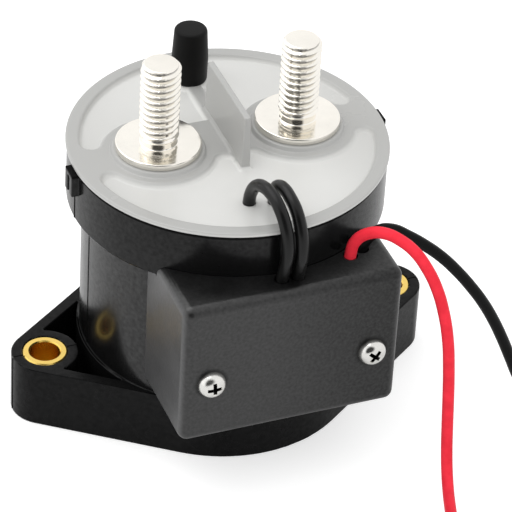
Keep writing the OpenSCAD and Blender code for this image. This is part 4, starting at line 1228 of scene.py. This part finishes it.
class CONTACTOR_OT_stage(bpy.types.Operator):
    """Camera, pale floor and soft studio light"""
    bl_idname = "contactor.stage"
    bl_label = "Studio"

    def execute(self, context):
        scene, stage = context.scene, context.scene.contactor_stage
        scene.view_settings.view_transform = "Standard"
        self.camera(scene, stage)
        self.floor()
        self.world(scene, stage)
        target, key_offset, key_width = Vector(stage.target), Vector((-0.25, 0.25, 0.75)), 0.7
        self.lamp("key_lamp", target + key_offset, target, key_width, stage.key_power)
        return {"FINISHED"}

    def back(self, azimuth, elevation):
        """Direction to the front at an azimuth and a height angle."""
        level = math.cos(elevation)
        return Vector((math.sin(azimuth) * level, -math.cos(azimuth) * level, math.sin(elevation)))

    def camera(self, scene, stage):
        """Camera that looks at the target, with its roll about the line of sight."""
        a, r, back = stage.azimuth, stage.roll, self.back(stage.azimuth, stage.elevation)
        level = Vector((math.cos(a), math.sin(a), 0))
        rise = back.cross(level)
        right = math.cos(r) * level + math.sin(r) * rise
        up = math.cos(r) * rise - math.sin(r) * level
        data = bpy.data.cameras.new("camera")
        data.lens, data.sensor_width = stage.lens, 36.0
        data.clip_start, data.clip_end = 0.01, 20.0
        camera = new_object("camera", data)
        turn = Matrix((right, up, back)).transposed().to_4x4()
        camera.matrix_world = Matrix.Translation(Vector(stage.target) + back * stage.distance) @ turn
        scene.camera = camera

    def floor(self):
        """Wide pale floor that glows a little where it is seen."""
        half, low, shown, mirrored = 3.0, -0.02 * MM, 0.5, 0.1
        floor = new_piece("floor", rectangle(-half, half, -half, half, low), [(0, 1, 2, 3)])
        material = bpy.data.materials.new("studio_floor")
        material.use_nodes = True
        tree = material.node_tree
        tree.nodes.clear()
        paper = add(tree, "ShaderNodeBsdfDiffuse", {"Color": (0.80, 0.80, 0.80, 1.0)})
        straight, bounced = self.rays(tree)
        strength = calc(tree, "ADD", calc(tree, "MULTIPLY", straight, shown),
                        calc(tree, "MULTIPLY", bounced, mirrored))
        glow = add(tree, "ShaderNodeEmission", {"Color": (1.0, 1.0, 1.0, 1.0), "Strength": strength})
        both = add(tree, "ShaderNodeAddShader", {0: paper.outputs[0], 1: glow.outputs[0]})
        add(tree, "ShaderNodeOutputMaterial", {"Surface": both.outputs[0]})
        floor.data.materials.append(material)

    def rays(self, tree):
        """One for rays straight from the camera, and one for rays that were mirrored or let through."""
        path = add(tree, "ShaderNodeLightPath").outputs
        return path["Is Camera Ray"], calc(tree, "ADD", path["Is Glossy Ray"], path["Is Transmission Ray"])

    def along(self, tree, direction):
        """Cosine between the sky's direction and a given one."""
        sky = add(tree, "ShaderNodeTexCoord").outputs["Generated"]
        return vector_calc(tree, "DOT_PRODUCT", sky, direction)["Value"]

    def world(self, scene, stage):
        """Even light that is stronger from the front; mirrors show it white, with a dark patch in front."""
        world = bpy.data.worlds.new("studio")
        world.use_nodes = True
        tree = world.node_tree
        tree.nodes.clear()
        facing = self.along(tree, self.back(stage.azimuth, math.radians(24)))
        behind_left = self.along(tree, Vector((-0.85, 0.50, 0.0)).normalized())
        glow = spread(tree, behind_left, 0.3, 0.9, 1.0, stage.side_glow)
        patch_edge, patch = math.cos(math.radians(40)), math.cos(math.radians(26))
        patch_share, rear_share, front_share = 0.04, 0.7, 1.9
        dark = spread(tree, facing, patch_edge, patch, 1.0, patch_share)
        shown = calc(tree, "MULTIPLY", glow, dark)
        share = spread(tree, facing, -1.0, 1.0, rear_share, front_share)
        around = calc(tree, "MULTIPLY", share, stage.surround)
        seen = calc(tree, "MINIMUM", calc(tree, "ADD", *self.rays(tree)), 1.0)
        strength = spread(tree, seen, 0.0, 1.0, around, shown)
        light = add(tree, "ShaderNodeBackground", {"Color": (1.0, 1.0, 1.0, 1.0), "Strength": strength})
        add(tree, "ShaderNodeOutputWorld", {"Surface": light.outputs[0]})
        scene.world = world

    def lamp(self, name, place, target, width, power):
        """Square lamp that faces a target."""
        data = bpy.data.lights.new(name, "AREA")
        data.shape = "SQUARE"
        data.size = width
        data.energy = power
        lamp = new_object(name, data)
        lamp.location = place
        lamp.rotation_euler = (target - place).to_track_quat("-Z", "Y").to_euler()


OPERATORS = [
    CONTACTOR_OT_stage, CONTACTOR_OT_leads, CONTACTOR_OT_coil_wires, CONTACTOR_OT_case, CONTACTOR_OT_bushes,
    CONTACTOR_OT_cover, CONTACTOR_OT_terminals, CONTACTOR_OT_cap, CONTACTOR_OT_box, CONTACTOR_OT_screws,
    CONTACTOR_OT_inside,
]
GROUPS = {
    "contactor_sizes": ContactorSizes,
    "contactor_colours": ContactorColours,
    "contactor_stage": ContactorStage,
}


class CONTACTOR_PT_panel(bpy.types.Panel):
    """Lists the steps that finish the contactor"""
    bl_idname = "CONTACTOR_PT_panel"
    bl_label = "Contactor"
    bl_space_type = "VIEW_3D"
    bl_region_type = "UI"
    bl_category = "Contactor"

    def draw(self, context):
        for operator in OPERATORS:
            self.layout.operator(operator.bl_idname)
        for group in GROUPS:
            self.layout.separator()
            settings = getattr(context.scene, group)
            for name in settings.__annotations__:
                self.layout.prop(settings, name)


def register():
    """Adds the classes to Blender and the settings to its scenes."""
    for cls in [*GROUPS.values(), *OPERATORS, CONTACTOR_PT_panel]:
        bpy.utils.register_class(cls)
    for name, cls in GROUPS.items():
        setattr(bpy.types.Scene, name, PointerProperty(type=cls))


def unregister():
    """Takes the settings and the classes away again."""
    for name in GROUPS:
        delattr(bpy.types.Scene, name)
    for cls in reversed([*GROUPS.values(), *OPERATORS, CONTACTOR_PT_panel]):
        bpy.utils.unregister_class(cls)


def main():
    """Runs all steps."""
    register()
    for operator in OPERATORS:
        space, name = operator.bl_idname.split(".")
        getattr(getattr(bpy.ops, space), name)()


if __name__ == "__main__":
    main()
